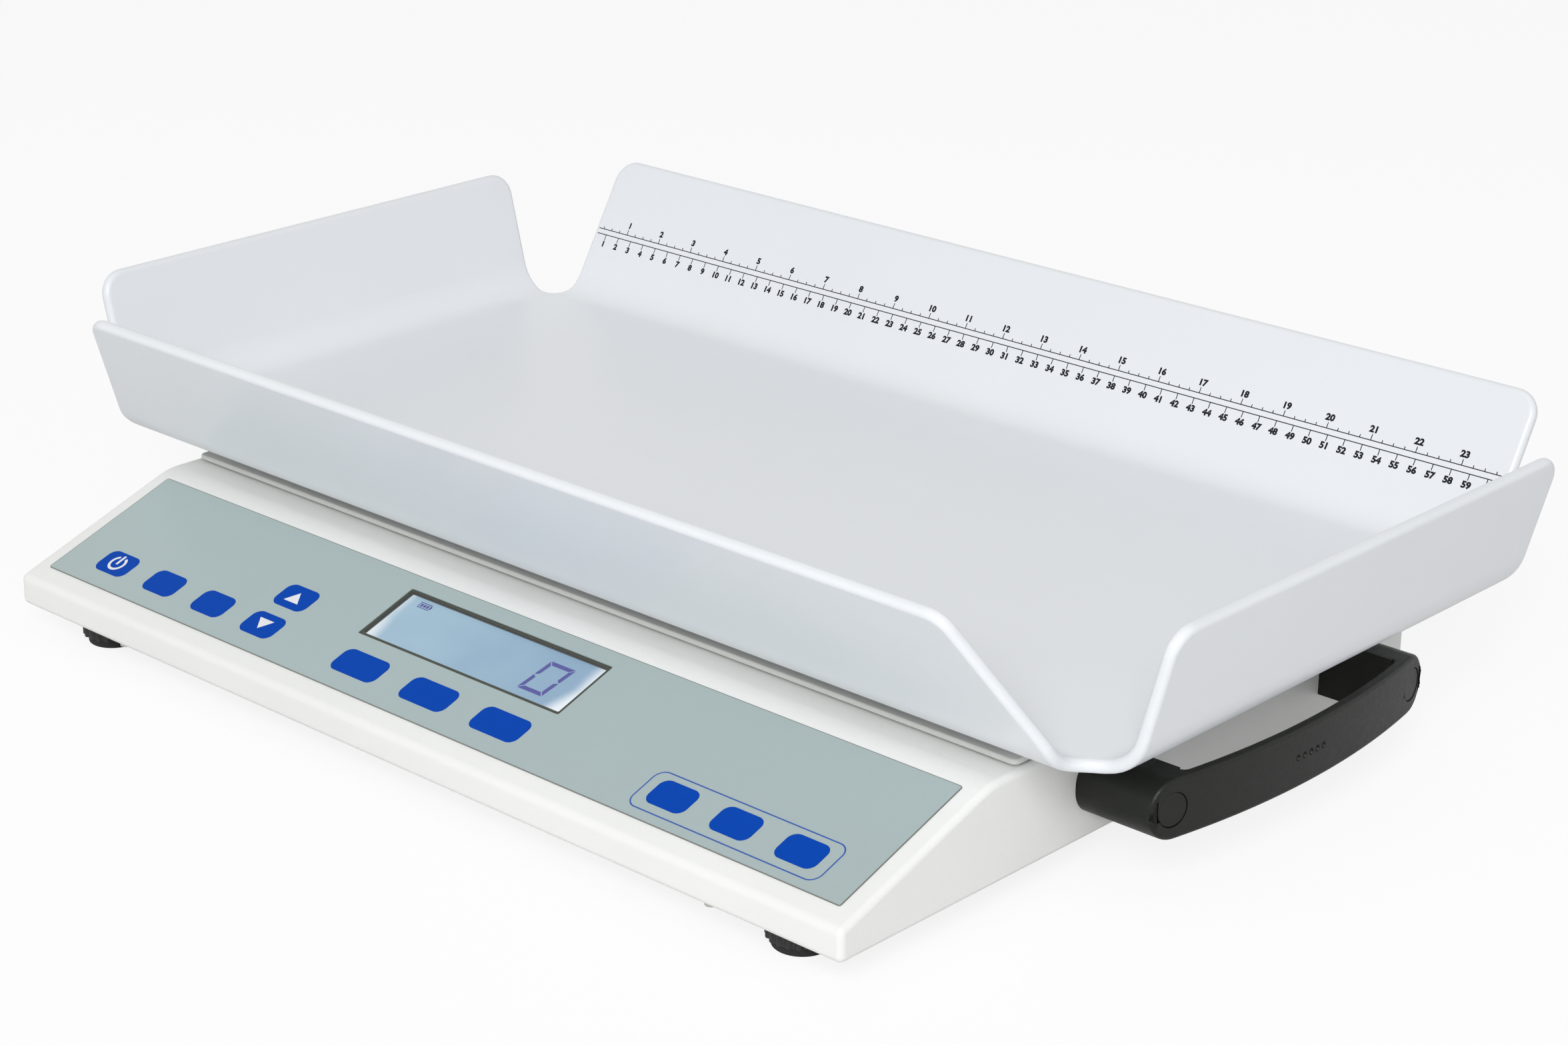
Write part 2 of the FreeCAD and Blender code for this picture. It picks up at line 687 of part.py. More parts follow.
def bow_arc(reach, y, z):
    return Part.Arc(V(bow_x(reach, -y), handle_y - y, z), V(bow_x(reach, 0), handle_y, z),
                    V(bow_x(reach, y), handle_y + y, z)).toShape()


def handle_plan(z, height, shrink=0.0):
    """Upright solid between the wall and the bowed outer face, set back by shrink."""
    half = handle_span / 2 + leg_w / 2
    outer = bow_arc(shrink, half, z)
    a, b = outer.Vertexes[0].Point, outer.Vertexes[-1].Point
    wall_a, wall_b = V(half_l, handle_y - half, z), V(half_l, handle_y + half, z)
    face = Part.Face(Part.Wire([outer, Part.makeLine(b, wall_b), Part.makeLine(wall_b, wall_a),
                                Part.makeLine(wall_a, a)]))
    return face.extrude(V(0, 0, height))


def finger_gap(z, height):
    half = handle_span / 2 - leg_w / 2
    inner = bow_arc(grip_t, half, z)
    a, b = inner.Vertexes[0].Point, inner.Vertexes[-1].Point
    wall_a, wall_b = V(half_l - 5, handle_y - half, z), V(half_l - 5, handle_y + half, z)
    face = Part.Face(Part.Wire([inner, Part.makeLine(b, wall_b), Part.makeLine(wall_b, wall_a),
                                Part.makeLine(wall_a, a)]))
    gap = face.extrude(V(0, 0, height))
    upright = [e for e in gap.Edges if e.BoundBox.ZLength > height - 1e-3
               and e.BoundBox.XMin > half_l + 5]
    return gap.makeFillet(inner_round, upright)


def make_handle():
    """Bridge handle for the right-hand wall."""
    low, high = handle_mid_z - handle_h / 2, handle_mid_z + handle_h / 2
    body = handle_plan(low, handle_h)
    upright = [e for e in body.Edges if e.BoundBox.ZLength > handle_h - 1e-3
               and e.BoundBox.XMin > half_l + 5]
    body = body.makeFillet(5.0, upright)
    half = handle_span / 2 + leg_w / 2
    x = half_l
    side = [V(x, handle_y - half, low), V(x, handle_y + half, low), V(x, handle_y + half, high),
            V(x, handle_y - half, high)]
    body = body.common(prism(side, [leg_round] * 4, V(handle_reach * 2, 0, 0)))
    body = body.cut(finger_gap(low - 1, handle_h + 2))
    half = handle_span / 2 - leg_w / 2 - 2
    skin = bow_arc(grip_skin, half, low + grip_rim)
    back = bow_arc(grip_t + 3, half, low + grip_rim)
    groove = Part.Face(Part.Wire([skin, Part.makeLine(skin.Vertexes[-1].Point, back.Vertexes[-1].Point), back,
                                  Part.makeLine(back.Vertexes[0].Point, skin.Vertexes[0].Point)]))
    tools = [groove.extrude(V(0, 0, handle_h - 2 * grip_rim))]
    for p in bolt_places():
        face_x = half_l + handle_reach
        tools.append(rod(handle_bolt_r + bore_gap, V(p.x - 1, p.y, p.z), V(face_x + 5, p.y, p.z)))
        tools.append(rod(cap_r, V(face_x - recess_depth, p.y, p.z), V(face_x + 20, p.y, p.z)))
    return cut(body, tools)


def make_caps():
    """Round caps over the handle bolts, flush with the bowed face, each with a slot to lift it out."""
    low = handle_mid_z - handle_h / 2
    caps = []
    for p in bolt_places():
        face_x = half_l + handle_reach
        plug = rod(cap_r - bore_gap, V(face_x - cap_t - 3, p.y, p.z), V(face_x + 20, p.y, p.z))
        plug = plug.common(handle_plan(low, handle_h, 0.2))
        plug = plug.cut(box(face_x - 1.2, face_x + 9, p.y - cap_r - 0.5, p.y - cap_r + 0.9, p.z - 1.6, p.z + 1.6))
        caps.append(plug)
    return caps


def make_handle_bolts():
    """Bolt through each leg and the housing wall, with its nut inside."""
    bolts, nuts = [], []
    for p in bolt_places():
        seat = half_l + handle_reach - recess_depth
        head = hexagon(handle_bolt_r * 1.85, V(seat, p.y, p.z), V(handle_bolt_r * 1.4, 0, 0))
        inside = half_l - sheet_t
        shank = rod(handle_bolt_r, V(inside - 8, p.y, p.z), V(seat + 0.5, p.y, p.z))
        bolts.append(head.fuse(shank))
        nut = hexagon(handle_bolt_r * 1.85, V(inside - 5.0, p.y, p.z), V(5.0, 0, 0))
        nuts.append(nut.cut(rod(handle_bolt_r + bore_gap, V(inside - 9, p.y, p.z), V(inside + 1, p.y, p.z))))
    return bolts, nuts


# ---------------------------------------------------------------- feet
def make_sole(p):
    """Rubber sole that stays still on the table while the knob turns above it."""
    return rod(sole_r, V(p.x, p.y, 0), V(p.x, p.y, sole_t))


def make_knob(p):
    """Ribbed knob with its threaded stud."""
    low = sole_t + bore_gap
    rim = []
    for k in range(2 * rib_count):
        a, r = pi * k / rib_count, knob_r - rib_depth * (k % 2)
        rim.append(V(p.x + r * cos(a), p.y + r * sin(a), low))
    disc = prism(rim, [0] * len(rim), V(0, 0, knob_h))
    return disc.fuse(rod(stud_r, V(p.x, p.y, low + knob_h - 0.5), V(p.x, p.y, z0 + stud_top)))


def make_bushes():
    """Hexagon weld nuts on the base plate that take the levelling studs."""
    bushes = []
    for _, p in foot_places():
        bush = hexagon(bush_r, V(p.x, p.y, deck_z), V(0, 0, bush_h))
        bushes.append(bush.cut(rod(stud_r + bore_gap, V(p.x, p.y, deck_z - 1), V(p.x, p.y, deck_z + bush_h + 1))))
    return bushes


# ---------------------------------------------------------------- battery bay and socket
def bay_size():
    """Clear length and width of the battery bay."""
    return bay_cols * cell_len + 8.0, bay_rows * 2 * cell_r + 3.0


def make_bay():
    w, d = bay_size()
    height = 2 * cell_r + 1.0
    outer = box(bay_mid.x - w / 2 - bay_wall, bay_mid.x + w / 2 + bay_wall,
                bay_mid.y - d / 2 - bay_wall, bay_mid.y + d / 2 + bay_wall, deck_z, deck_z + height + bay_wall)
    inner = box(bay_mid.x - w / 2, bay_mid.x + w / 2, bay_mid.y - d / 2, bay_mid.y + d / 2,
                deck_z - 1, deck_z + height)
    return outer.cut(inner)


def make_batteries():
    cells = []
    z = door_top() + loose_gap + cell_r
    for i in range(bay_cols):
        for j in range(bay_rows):
            x = bay_mid.x + (i - (bay_cols - 1) / 2) * (cell_len + 1.5)
            y = bay_mid.y + (j - (bay_rows - 1) / 2) * (2 * cell_r + 0.8)
            start = V(x - cell_len / 2 + 1, y, z)
            can = rod(cell_r, start, start + V(cell_len - 2, 0, 0))
            cells.append(can.fuse(hexagon(cell_r * 0.38, start, V(cell_len - 1, 0, 0))))
    return cells


def door_top():
    return floor_z - bore_gap * 2


def make_door():
    """Battery door on the underside, run in two rails, with a ribbed thumb patch."""
    w, d = bay_size()
    w, d = w + 2 * door_overlap, d + 2 * door_overlap
    top = door_top()
    door = pill(bay_mid.x, bay_mid.y, w, d, 2.0, top - door_t, top)
    grooves = [box(bay_mid.x - w / 2 + 8 + 2.4 * k, bay_mid.x - w / 2 + 9.2 + 2.4 * k, bay_mid.y - d * 0.25,
                   bay_mid.y + d * 0.25, top - door_t - 1, top - door_t + 0.6) for k in range(6)]
    return cut(door, grooves)


def make_rails():
    """Two L-shaped rails under the base plate that carry the door."""
    w, d = bay_size()
    w, d = w + 2 * door_overlap, d + 2 * door_overlap
    low = door_top() - door_t - loose_gap
    rails = []
    for s in (-1, 1):
        edge = bay_mid.y + s * (d / 2 + loose_gap)
        web = box(bay_mid.x - w / 2, bay_mid.x + w / 2, min(edge, edge + s * rail_t), max(edge, edge + s * rail_t),
                  low, floor_z)
        lip_in = edge - s * (rail_w - rail_t)
        lip = box(bay_mid.x - w / 2, bay_mid.x + w / 2, min(lip_in, edge + s * rail_t),
                  max(lip_in, edge + s * rail_t), low - rail_t, low)
        rails.append(web.fuse(lip).removeSplitter())
    return rails


def make_jack():
    """Power socket in the back wall: collar outside, barrel and centre pin, nut inside."""
    mid = V(jack_x, y_back, z0 + jack_z)
    barrel = rod(jack_r, mid - V(0, jack_len, 0), mid + V(0, 0.5, 0))
    collar = rod(jack_r + 2, mid, mid + V(0, 1.8, 0))
    nut = hexagon(jack_r + 2.5, mid - V(0, sheet_t + 2.5, 0), V(0, 2.5, 0))
    bore = rod(3.2, mid - V(0, jack_len - 4, 0), mid + V(0, 5, 0))
    pin = rod(1.0, mid - V(0, jack_len - 3, 0), mid - V(0, 1, 0))
    return fuse([barrel, collar, nut]).cut(bore).fuse(pin)


# ---------------------------------------------------------------- assembly
def main():
    os.makedirs("parts", exist_ok=True)
    save("housing", make_housing())
    save("base_plate", make_base_plate())
    save("housing_screws", Part.makeCompound(make_housing_screws()))
    save("label", make_label())
    for name, x, s, w in key_layout():
        save(name, make_key(x, s, w))
    save("window", make_window())
    frame, glass, guide = make_display()
    save("display_frame", frame)
    save("display_glass", glass)
    save("light_guide", guide)
    save("board", make_board())
    posts, screws = make_standoffs()
    save("board_posts", Part.makeCompound(posts))
    save("board_screws", Part.makeCompound(screws))
    save("key_switches", Part.makeCompound(make_switches()))
    save("cross_member", make_cross_member())
    save("load_cell", make_load_cell())
    lower, upper = make_cell_spacers()
    save("cell_spacer_fixed", lower)
    save("cell_spacer_moving", upper)
    save("cell_screws", Part.makeCompound(make_cell_screws()))
    save("platform_frame", make_frame())
    save("platform_posts", Part.makeCompound(make_posts()))
    save("overload_stops", Part.makeCompound(make_stops()))
    save("platform_plate", make_platform())
    save("tray_pads", Part.makeCompound(make_pads()))
    save("tray", make_tray())
    save("tray_cups", Part.makeCompound(make_cups()))
    handle, caps = make_handle(), Part.makeCompound(make_caps())
    save("handle_right", handle)
    save("handle_left", mirrored(handle))
    save("caps_right", caps)
    save("caps_left", mirrored(caps))
    bolts, nuts = make_handle_bolts()
    both = [s for b in bolts for s in (b, mirrored(b))]
    save("handle_bolts", Part.makeCompound(both))
    save("handle_nuts", Part.makeCompound([s for n in nuts for s in (n, mirrored(n))]))
    for name, place in foot_places():
        save("foot_sole_" + name, make_sole(place))
        save("foot_knob_" + name, make_knob(place))
    save("foot_bushes", Part.makeCompound(make_bushes()))
    save("battery_bay", make_bay())
    save("batteries", Part.makeCompound(make_batteries()))
    save("battery_door", make_door())
    save("door_rails", Part.makeCompound(make_rails()))
    save("power_socket", make_jack())


main()
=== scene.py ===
"""Digital baby weighing scale: dressed pieces, finishes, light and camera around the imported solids.

Fields are in millimetres unless they say otherwise. Meshes are in metres, with +Z up and +Y to the back.
A place on the sloping console is x across and s up the slope from its lower edge.
"""

import logging
import math
from dataclasses import dataclass
from enum import Enum
from functools import cached_property
from typing import Callable, Iterable, Sequence, Union

import bmesh
import bpy
from bmesh.types import BMEdge, BMesh, BMFace, BMVert
from bpy.types import Material, Mesh, Node, NodeSocket, Object
from mathutils import Matrix, Vector


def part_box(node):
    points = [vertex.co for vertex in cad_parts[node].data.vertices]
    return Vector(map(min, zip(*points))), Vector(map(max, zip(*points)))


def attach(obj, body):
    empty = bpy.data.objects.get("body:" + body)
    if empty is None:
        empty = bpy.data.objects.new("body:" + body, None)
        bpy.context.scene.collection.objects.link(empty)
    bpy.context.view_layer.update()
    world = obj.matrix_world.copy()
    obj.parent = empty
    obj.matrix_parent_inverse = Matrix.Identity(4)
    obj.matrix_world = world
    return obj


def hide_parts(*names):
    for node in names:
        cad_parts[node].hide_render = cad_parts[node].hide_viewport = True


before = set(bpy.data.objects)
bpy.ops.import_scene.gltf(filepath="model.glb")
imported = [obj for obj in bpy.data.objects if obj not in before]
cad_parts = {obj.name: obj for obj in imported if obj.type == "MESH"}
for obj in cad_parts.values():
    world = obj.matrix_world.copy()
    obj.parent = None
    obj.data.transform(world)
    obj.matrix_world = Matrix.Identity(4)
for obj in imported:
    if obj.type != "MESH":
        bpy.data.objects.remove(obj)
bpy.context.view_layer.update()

logging.basicConfig(level=logging.INFO, format="%(message)s")
log = logging.getLogger("scale")

MM = 0.001
NEAR = 0.1  # a point this close to a line counts as on it
WHITE = (1.0, 1.0, 1.0, 1.0)
Number = Union[int, float]
Colour = tuple[float, float, float]
Point = tuple[float, float]


def vec(x: Number, y: Number, z: Number) -> Vector:
    """Point or step in metres from millimetres."""
    return Vector((x, y, z)) * MM


def in_mm(box: Iterable[Vector]) -> list[Vector]:
    """Low and high corner of a box in millimetres."""
    return [corner * 1000.0 for corner in box]


def scaled(colour: Colour, factor: float) -> Colour:
    """Darker shade of a colour."""
    return tuple(c * factor for c in colour)


def linked(name: str, data: bpy.types.ID) -> Object:
    """Makes an object in the scene.

    Args:
        name: Its name.
        data: Its mesh, text, light or camera.

    Returns:
        The object.
    """
    made = bpy.data.objects.new(name, data)
    bpy.context.scene.collection.objects.link(made)
    return made


def evaluated(item: Object) -> Mesh:
    """New mesh of an object as its modifiers or its text leave it."""
    bpy.context.view_layer.update()
    return bpy.data.meshes.new_from_object(item.evaluated_get(bpy.context.evaluated_depsgraph_get()))


# ------------------------------------------------------------------ shader maths
def math_method(operation: str, turned: bool = False) -> Callable[..., "Val"]:
    """Makes a method of Val that adds one Math node.

    Args:
        operation: What the node does.
        turned: Whether the value itself comes last.

    Returns:
        The method.
    """
    def method(self: "Val", *others: "Operand") -> "Val":
        """Adds the node."""
        return self.graph.math(operation, *((*others, self) if turned else (self, *others)))

    return method


class Val:
    """One output socket of a node tree, with arithmetic on it."""

    __add__ = __radd__ = math_method("ADD")
    __sub__, __rsub__ = math_method("SUBTRACT"), math_method("SUBTRACT", True)
    __mul__, __abs__ = math_method("MULTIPLY"), math_method("ABSOLUTE")
    at_least, at_most = math_method("MAXIMUM"), math_method("MINIMUM")
    root, wave = math_method("SQRT"), math_method("SINE")

    def __init__(self, graph: "Graph", socket: NodeSocket) -> None:
        """Keeps the socket and the graph that it belongs to."""
        self.graph, self.socket = graph, socket

    def ramp(self, start: Number, end: Number) -> "Val":
        """Smooth step from 0 to 1 between two inputs."""
        return self.graph.value("ShaderNodeMapRange", {"Value": self, "From Min": start, "From Max": end},
                                interpolation_type="SMOOTHSTEP")

    def about(self, middle: float, spread: float) -> "Val":
        """Noise of 0 to 1 spread evenly round a middle."""
        return (self - 0.5) * spread + middle


Operand = Union[Val, Number]


class Graph:
    """Builds the nodes of a material or of the world."""

    def __init__(self, owner: Union[Material, bpy.types.World],
                 output: str = "ShaderNodeOutputMaterial") -> None:
        """Empties a node tree and adds its output node.

        Args:
            owner: The material or the world whose tree it is.
            output: The output node's type name.
        """
        owner.use_nodes = True
        self.owner, self.tree = owner, owner.node_tree
        self.tree.nodes.clear()
        self.output = self.tree.nodes.new(output)

    def node(self, kind: str, inputs: dict[Union[str, int], object], **settings: object) -> Node:
        """Adds a node.

        Args:
            kind: The node's type name.
            inputs: Socket name or number to a value or a Val.
            **settings: The node's properties, set before its sockets.

        Returns:
            The new node.
        """
        made = self.tree.nodes.new(kind)
        for key, setting in settings.items():
            setattr(made, key, setting)
        for key, given in inputs.items():
            if isinstance(given, Val):
                self.tree.links.new(given.socket, made.inputs[key])
            else:
                made.inputs[key].default_value = given
        return made

    def value(self, kind: str, inputs: dict[Union[str, int], object], output: Union[str, int] = 0,
              **settings: object) -> Val:
        """Adds a node and gives one of its outputs."""
        return Val(self, self.node(kind, inputs, **settings).outputs[output])

    def math(self, operation: str, *terms: Operand) -> Val:
        """Adds a Math node."""
        return self.value("ShaderNodeMath", dict(enumerate(terms)), operation=operation)

    def mix(self, factor: Operand, first: Union[Val, Colour], second: Union[Val, Colour]) -> Val:
        """Blends two colours."""
        paint = [c if isinstance(c, Val) else (*c, 1.0) for c in (first, second)]
        return self.value("ShaderNodeMix", {0: factor, 6: paint[0], 7: paint[1]}, 2, data_type="RGBA")

    def spot(self) -> Val:
        """Place on the object in metres."""
        return self.value("ShaderNodeTexCoord", {}, "Object")

    def place(self) -> tuple[Val, Val, Val]:
        """X, Y and Z on the object in millimetres."""
        parts = self.node("ShaderNodeSeparateXYZ", {0: self.spot()})
        return tuple(Val(self, parts.outputs[i]) * 1000.0 for i in range(3))

    def noise(self, size: float, detail: float = 2.0, stretch: Sequence[float] = (1, 1, 1)) -> Val:
        """Noise from 0 to 1 with features of that size, finer octaves and a scale along X, Y and Z."""
        mapped = self.value("ShaderNodeMapping", {"Vector": self.spot(), "Scale": tuple(stretch)})
        return self.value("ShaderNodeTexNoise", {"Vector": mapped, "Scale": 1000.0 / size, "Detail": detail})

    def cells(self, size: float) -> Val:
        """Distance to the nearest point of a scattered pattern with cells of that size."""
        return self.value("ShaderNodeTexVoronoi", {"Vector": self.spot(), "Scale": 1000.0 / size})

    def frame_distance(self, x: Val, y: Val, half_w: float, half_h: float, radius: float) -> Val:
        """Measures from a rounded rectangle about the middle.

        Args:
            x: Place across.
            y: Place up.
            half_w: Half of the rectangle's width.
            half_h: Half of its height.
            radius: Its corner radius.

        Returns:
            Distance outwards, negative inside.
        """
        across, up = abs(x) - (half_w - radius), abs(y) - (half_h - radius)
        outside = (across.at_least(0.0) * across.at_least(0.0) + up.at_least(0.0) * up.at_least(0.0)).root()
        return outside + across.at_least(up).at_most(0.0) - radius

    def bump(self, height: Val, depth: float) -> Val:
        """Normal from a height of 0 to 1 and its depth."""
        return self.value("ShaderNodeBump", {"Height": height, "Distance": depth * MM})

    def end(self, shader: Val) -> None:
        """Links the last shader to the output."""
        self.tree.links.new(shader.socket, self.output.inputs[0])

    def surface(self, **sockets: object) -> None:
        """Ends the material in a Principled shader.

        Args:
            **sockets: Socket values, with underscores for the spaces in their names.
        """
        short = {"base": "Base Color", "gloss": "Specular IOR Level"}
        inputs = {}
        for key, given in sockets.items():
            name = short.get(key, key.replace("_", " ").title())
            inputs[name] = (*given, 1.0) if isinstance(given, tuple) else given
        self.end(self.value("ShaderNodeBsdfPrincipled", inputs))


# ------------------------------------------------------------------ where things are
@dataclass(frozen=True)
class Datum:
    """Main places of the scale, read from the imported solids, and the console's own sizes."""

    front: float
    back: float
    low: float
    top: float
    half: float
    tray_mid: float
    front_height: float = 15.3
    console_run: float = 92.6
    window_s: float = 64.2
    film: float = 0.5

    @classmethod
    def read(cls) -> "Datum":
        """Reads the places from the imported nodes."""
        house, pads = in_mm(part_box("housing")), in_mm(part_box("tray_pads"))
        return cls(house[0].y, house[1].y, house[0].z, house[1].z, house[1].x, (pads[0].y + pads[1].y) / 2)

    @property
    def tilt(self) -> float:
        """Slope of the console in radians."""
        return math.atan2(self.top - self.low - self.front_height, self.console_run)

    @property
    def base_z(self) -> float:
        """Height of the console's lower edge."""
        return self.low + self.front_height

    def console(self, rise: float = 0.0) -> Matrix:
        """Carries a drawing of x across, s up and a height off the console's face onto the console."""
        return (Matrix.Translation(vec(0, self.front, self.base_z)) @ Matrix.Rotation(self.tilt, 4, "X")
                @ Matrix.Translation(vec(0, 0, rise)))

    def label_middle(self) -> float:
        """Middle of the printed film up the slope."""
        low, high = in_mm(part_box("label"))
        return ((low.y + high.y) / 2 - self.front + self.film / 2 * math.sin(self.tilt)) / math.cos(self.tilt)


# ------------------------------------------------------------------ finishes
@dataclass(frozen=True)
class Finish:
    """A finish that can dress any piece."""

    name: str

    @cached_property
    def graph(self) -> Graph:
        """Graph of the finish's material."""
        return Graph(bpy.data.materials.new(self.name))

    def build(self) -> None:
        """Makes the nodes; each kind of finish has its own."""
        raise NotImplementedError

    def material(self) -> Material:
        """Makes the finish's material when it is first asked for.

        Returns:
            The material.
        """
        if self.name not in bpy.data.materials:
            self.build()
        return bpy.data.materials[self.name]


@dataclass(frozen=True)
class PowderCoat(Finish):
    """Baked powder on sheet steel: fine orange peel and a faint tone change."""

    tint: Colour = (0.86, 0.865, 0.845)
    peel: float = 1.7
    depth: float = 0.07
    rough: float = 0.42
    patch: float = 90.0
    fade: float = 0.955

    def build(self) -> None:
        """Makes the nodes."""
        graph = self.graph
        peel, fine = graph.noise(self.peel, 1.0), graph.noise(self.peel * 0.35)
        tone = (graph.noise(self.patch) * 0.6 + fine * 0.4).ramp(0.3, 0.7)
        graph.surface(base=graph.mix(tone, scaled(self.tint, self.fade), self.tint),
                      roughness=fine.about(self.rough, 0.2),
                      normal=graph.bump(peel * 0.7 + fine * 0.3, self.depth),
                      coat_weight=0.15, coat_roughness=0.3)


@dataclass(frozen=True)
class FormedSheet(Finish):
    """Glossy white thermoformed sheet with faint waves, a fine haze and a few dark specks."""

    tint: Colour = (0.81, 0.835, 0.865)
    speck_tint: Colour = (0.35, 0.35, 0.36)
    fade: float = 0.975

    def build(self) -> None:
        """Makes the nodes."""
        graph = self.graph
        wave, haze = graph.noise(60.0), graph.noise(9.0, 3.0)
        speck = graph.noise(0.7, 1.0).ramp(0.70, 0.78)
        colour = graph.mix(wave, scaled(self.tint, self.fade), self.tint)
        graph.surface(base=graph.mix(speck * 0.05, colour, self.speck_tint),
                      roughness=0.27 + haze * 0.08 + speck * 0.05,
                      normal=graph.bump(wave * 0.9 + haze * 0.1, 0.10),
                      coat_weight=0.08, coat_roughness=0.15)


@dataclass(frozen=True)
class Moulding(Finish):
    """Moulded plastic or rubber with a fine eroded grain."""

    tint: Colour
    grain: float
    depth: float
    rough: float
    gloss: float = 0.5
    wear: float = 35.0

    def build(self) -> None:
        """Makes the nodes."""
        graph = self.graph
        pits, cloud = graph.cells(self.grain), graph.noise(self.grain * 4.0, 3.0)
        wear = graph.noise(self.wear, 3.0).ramp(0.45, 0.75)
        pale = tuple(c * 1.5 + 0.003 for c in self.tint)
        graph.surface(base=graph.mix(cloud * 0.5 + wear * 0.3, self.tint, pale),
                      roughness=cloud.about(self.rough, 0.18) + wear * 0.05,
                      normal=graph.bump(pits * 0.6 + cloud * 0.4, self.depth), gloss=self.gloss)


@dataclass(frozen=True)
class Metal(Finish):
    """Plated or milled metal with fine brushing or spangle."""

    tint: Colour = (0.62, 0.62, 0.60)
    rough: float = 0.34
    stretch: tuple[float, float, float] = (1.0, 1.0, 1.0)
    grain: float = 1.2
    depth: float = 0.01
    fade: float = 0.8

    def build(self) -> None:
        """Makes the nodes."""
        graph = self.graph
        lines, cloud = graph.noise(self.grain, 3.0, self.stretch), graph.noise(22.0, 3.0)
        colour = graph.mix(lines * 0.5 + cloud * 0.5, scaled(self.tint, self.fade), self.tint)
        graph.surface(base=colour, metallic=1.0, normal=graph.bump(lines, self.depth),
                      roughness=lines.about(self.rough, 0.2) + (cloud - 0.5) * 0.15)


@dataclass(frozen=True)
class Ink(Finish):
    """Solid print: satin, with the slight mottle of screened ink."""

    tint: Colour = (0.0, 0.062, 0.44)
    rough: float = 0.45
    glow: float = 0.0
    gloss: float = 0.05
    fade: float = 0.88

    def build(self) -> None:
        """Makes the nodes."""
        graph = self.graph
        mottle = graph.noise(1.4)
        colour = graph.mix(mottle, scaled(self.tint, self.fade), self.tint)
        graph.surface(base=colour, roughness=mottle.about(self.rough, 0.12), gloss=self.gloss,
                      normal=graph.bump(graph.noise(0.5, 1.0), 0.006),
                      emission_color=colour, emission_strength=self.glow)


@dataclass(frozen=True)
class ConsoleFinish(Finish):
    """A finish drawn to the places of the console."""

    datum: Datum

    def drawing(self) -> tuple[Val, Val]:
        """Gives x and s of a point of the console."""
        (x, y, z), d = self.graph.place(), self.datum
        return x, (y - d.front) * math.cos(d.tilt) + (z - d.base_z) * math.sin(d.tilt)


@dataclass(frozen=True)
class Overlay(ConsoleFinish):
    """Printed console film: grey-green with painted shade, lighter on the left and darker towards the right,
    and with the blue outline round the feeding keys and a thin dark edge.
    """

    half_w: float = 263.4
    half_h: float = 39.95
    edge_r: float = 1.0
    edge_tint: Colour = (0.10, 0.085, 0.07)
    outline: Point = (190.95, 28.3)
    outline_half: Point = (53.95, 11.7)
    outline_r: float = 5.5
    outline_tint: Colour = (0.012, 0.08, 0.38)
    # painted shade: the film's lighter colour on its left and darker colour on its right
    left_tint: Colour = (0.395, 0.482, 0.478)
    right_tint: Colour = (0.372, 0.448, 0.448)
    grain_tint: Colour = (0.48, 0.57, 0.57)

    def build(self) -> None:
        """Makes the nodes."""
        graph = self.graph
        x, s = self.drawing()
        grain, drift = graph.noise(0.55), graph.noise(120.0, 1.0)
        # painted shade: the film ramps from lighter on the left to darker on the right, with some random
        # drift
        side = (x * 0.0018 + 0.5 + (drift - 0.5) * 0.35).ramp(0.0, 1.0)
        colour = graph.mix(side, self.left_tint, self.right_tint)
        colour = graph.mix(grain.ramp(0.25, 0.75) * 0.10, colour, self.grain_tint)
        line = graph.frame_distance(x - self.outline[0], s - self.outline[1], *self.outline_half,
                                    self.outline_r)
        colour = graph.mix(1.0 - abs(line).ramp(0.26, 0.46), colour, self.outline_tint)
        rim = graph.frame_distance(x, s - self.datum.label_middle(), self.half_w, self.half_h, self.edge_r)
        colour = graph.mix(rim.ramp(-0.42, -0.30) * 0.75, colour, self.edge_tint)
        graph.surface(base=colour, roughness=grain.about(0.40, 0.14), gloss=0.35,
                      normal=graph.bump(grain, 0.010), coat_weight=0.1, coat_roughness=0.35)


@dataclass(frozen=True)
class LitPane(ConsoleFinish):
    """Backlit display face: pale blue with fine upright lines and bright, slanting ends."""

    half_w: float = 66.0
    shift: float = 2.5
    slant: float = 0.15
    pitch: float = 1.05
    left_tint: Colour = (0.27, 0.46, 0.60)
    right_tint: Colour = (0.15, 0.31, 0.49)
    line_tint: Colour = (0.42, 0.57, 0.68)
    end_tint: Colour = (0.90, 0.96, 1.0)
    glow: float = 0.82

    def build(self) -> None:
        """Makes the nodes."""
        graph = self.graph
        x, s = self.drawing()
        up = s - self.datum.window_s
        lines = (x * (2.0 * math.pi / self.pitch)).wave() * 0.5 + 0.5
        cloud = graph.noise(26.0, 1.0)
        end = abs(x + self.shift) - up * self.slant + abs(up) * self.slant + (cloud - 0.5) * 5.0
        side = (cloud * 0.5 + 0.25 + x * 0.006).ramp(0.1, 0.9)
        colour = graph.mix(side, self.left_tint, self.right_tint)
        colour = graph.mix(lines * 0.25, colour, self.line_tint)
        colour = graph.mix(end.ramp(self.half_w - 8.0, self.half_w + 2.0), colour, self.end_tint)
        graph.surface(base=(0.05, 0.06, 0.07), roughness=0.3 + cloud * 0.05,
                      emission_color=colour, emission_strength=self.glow)


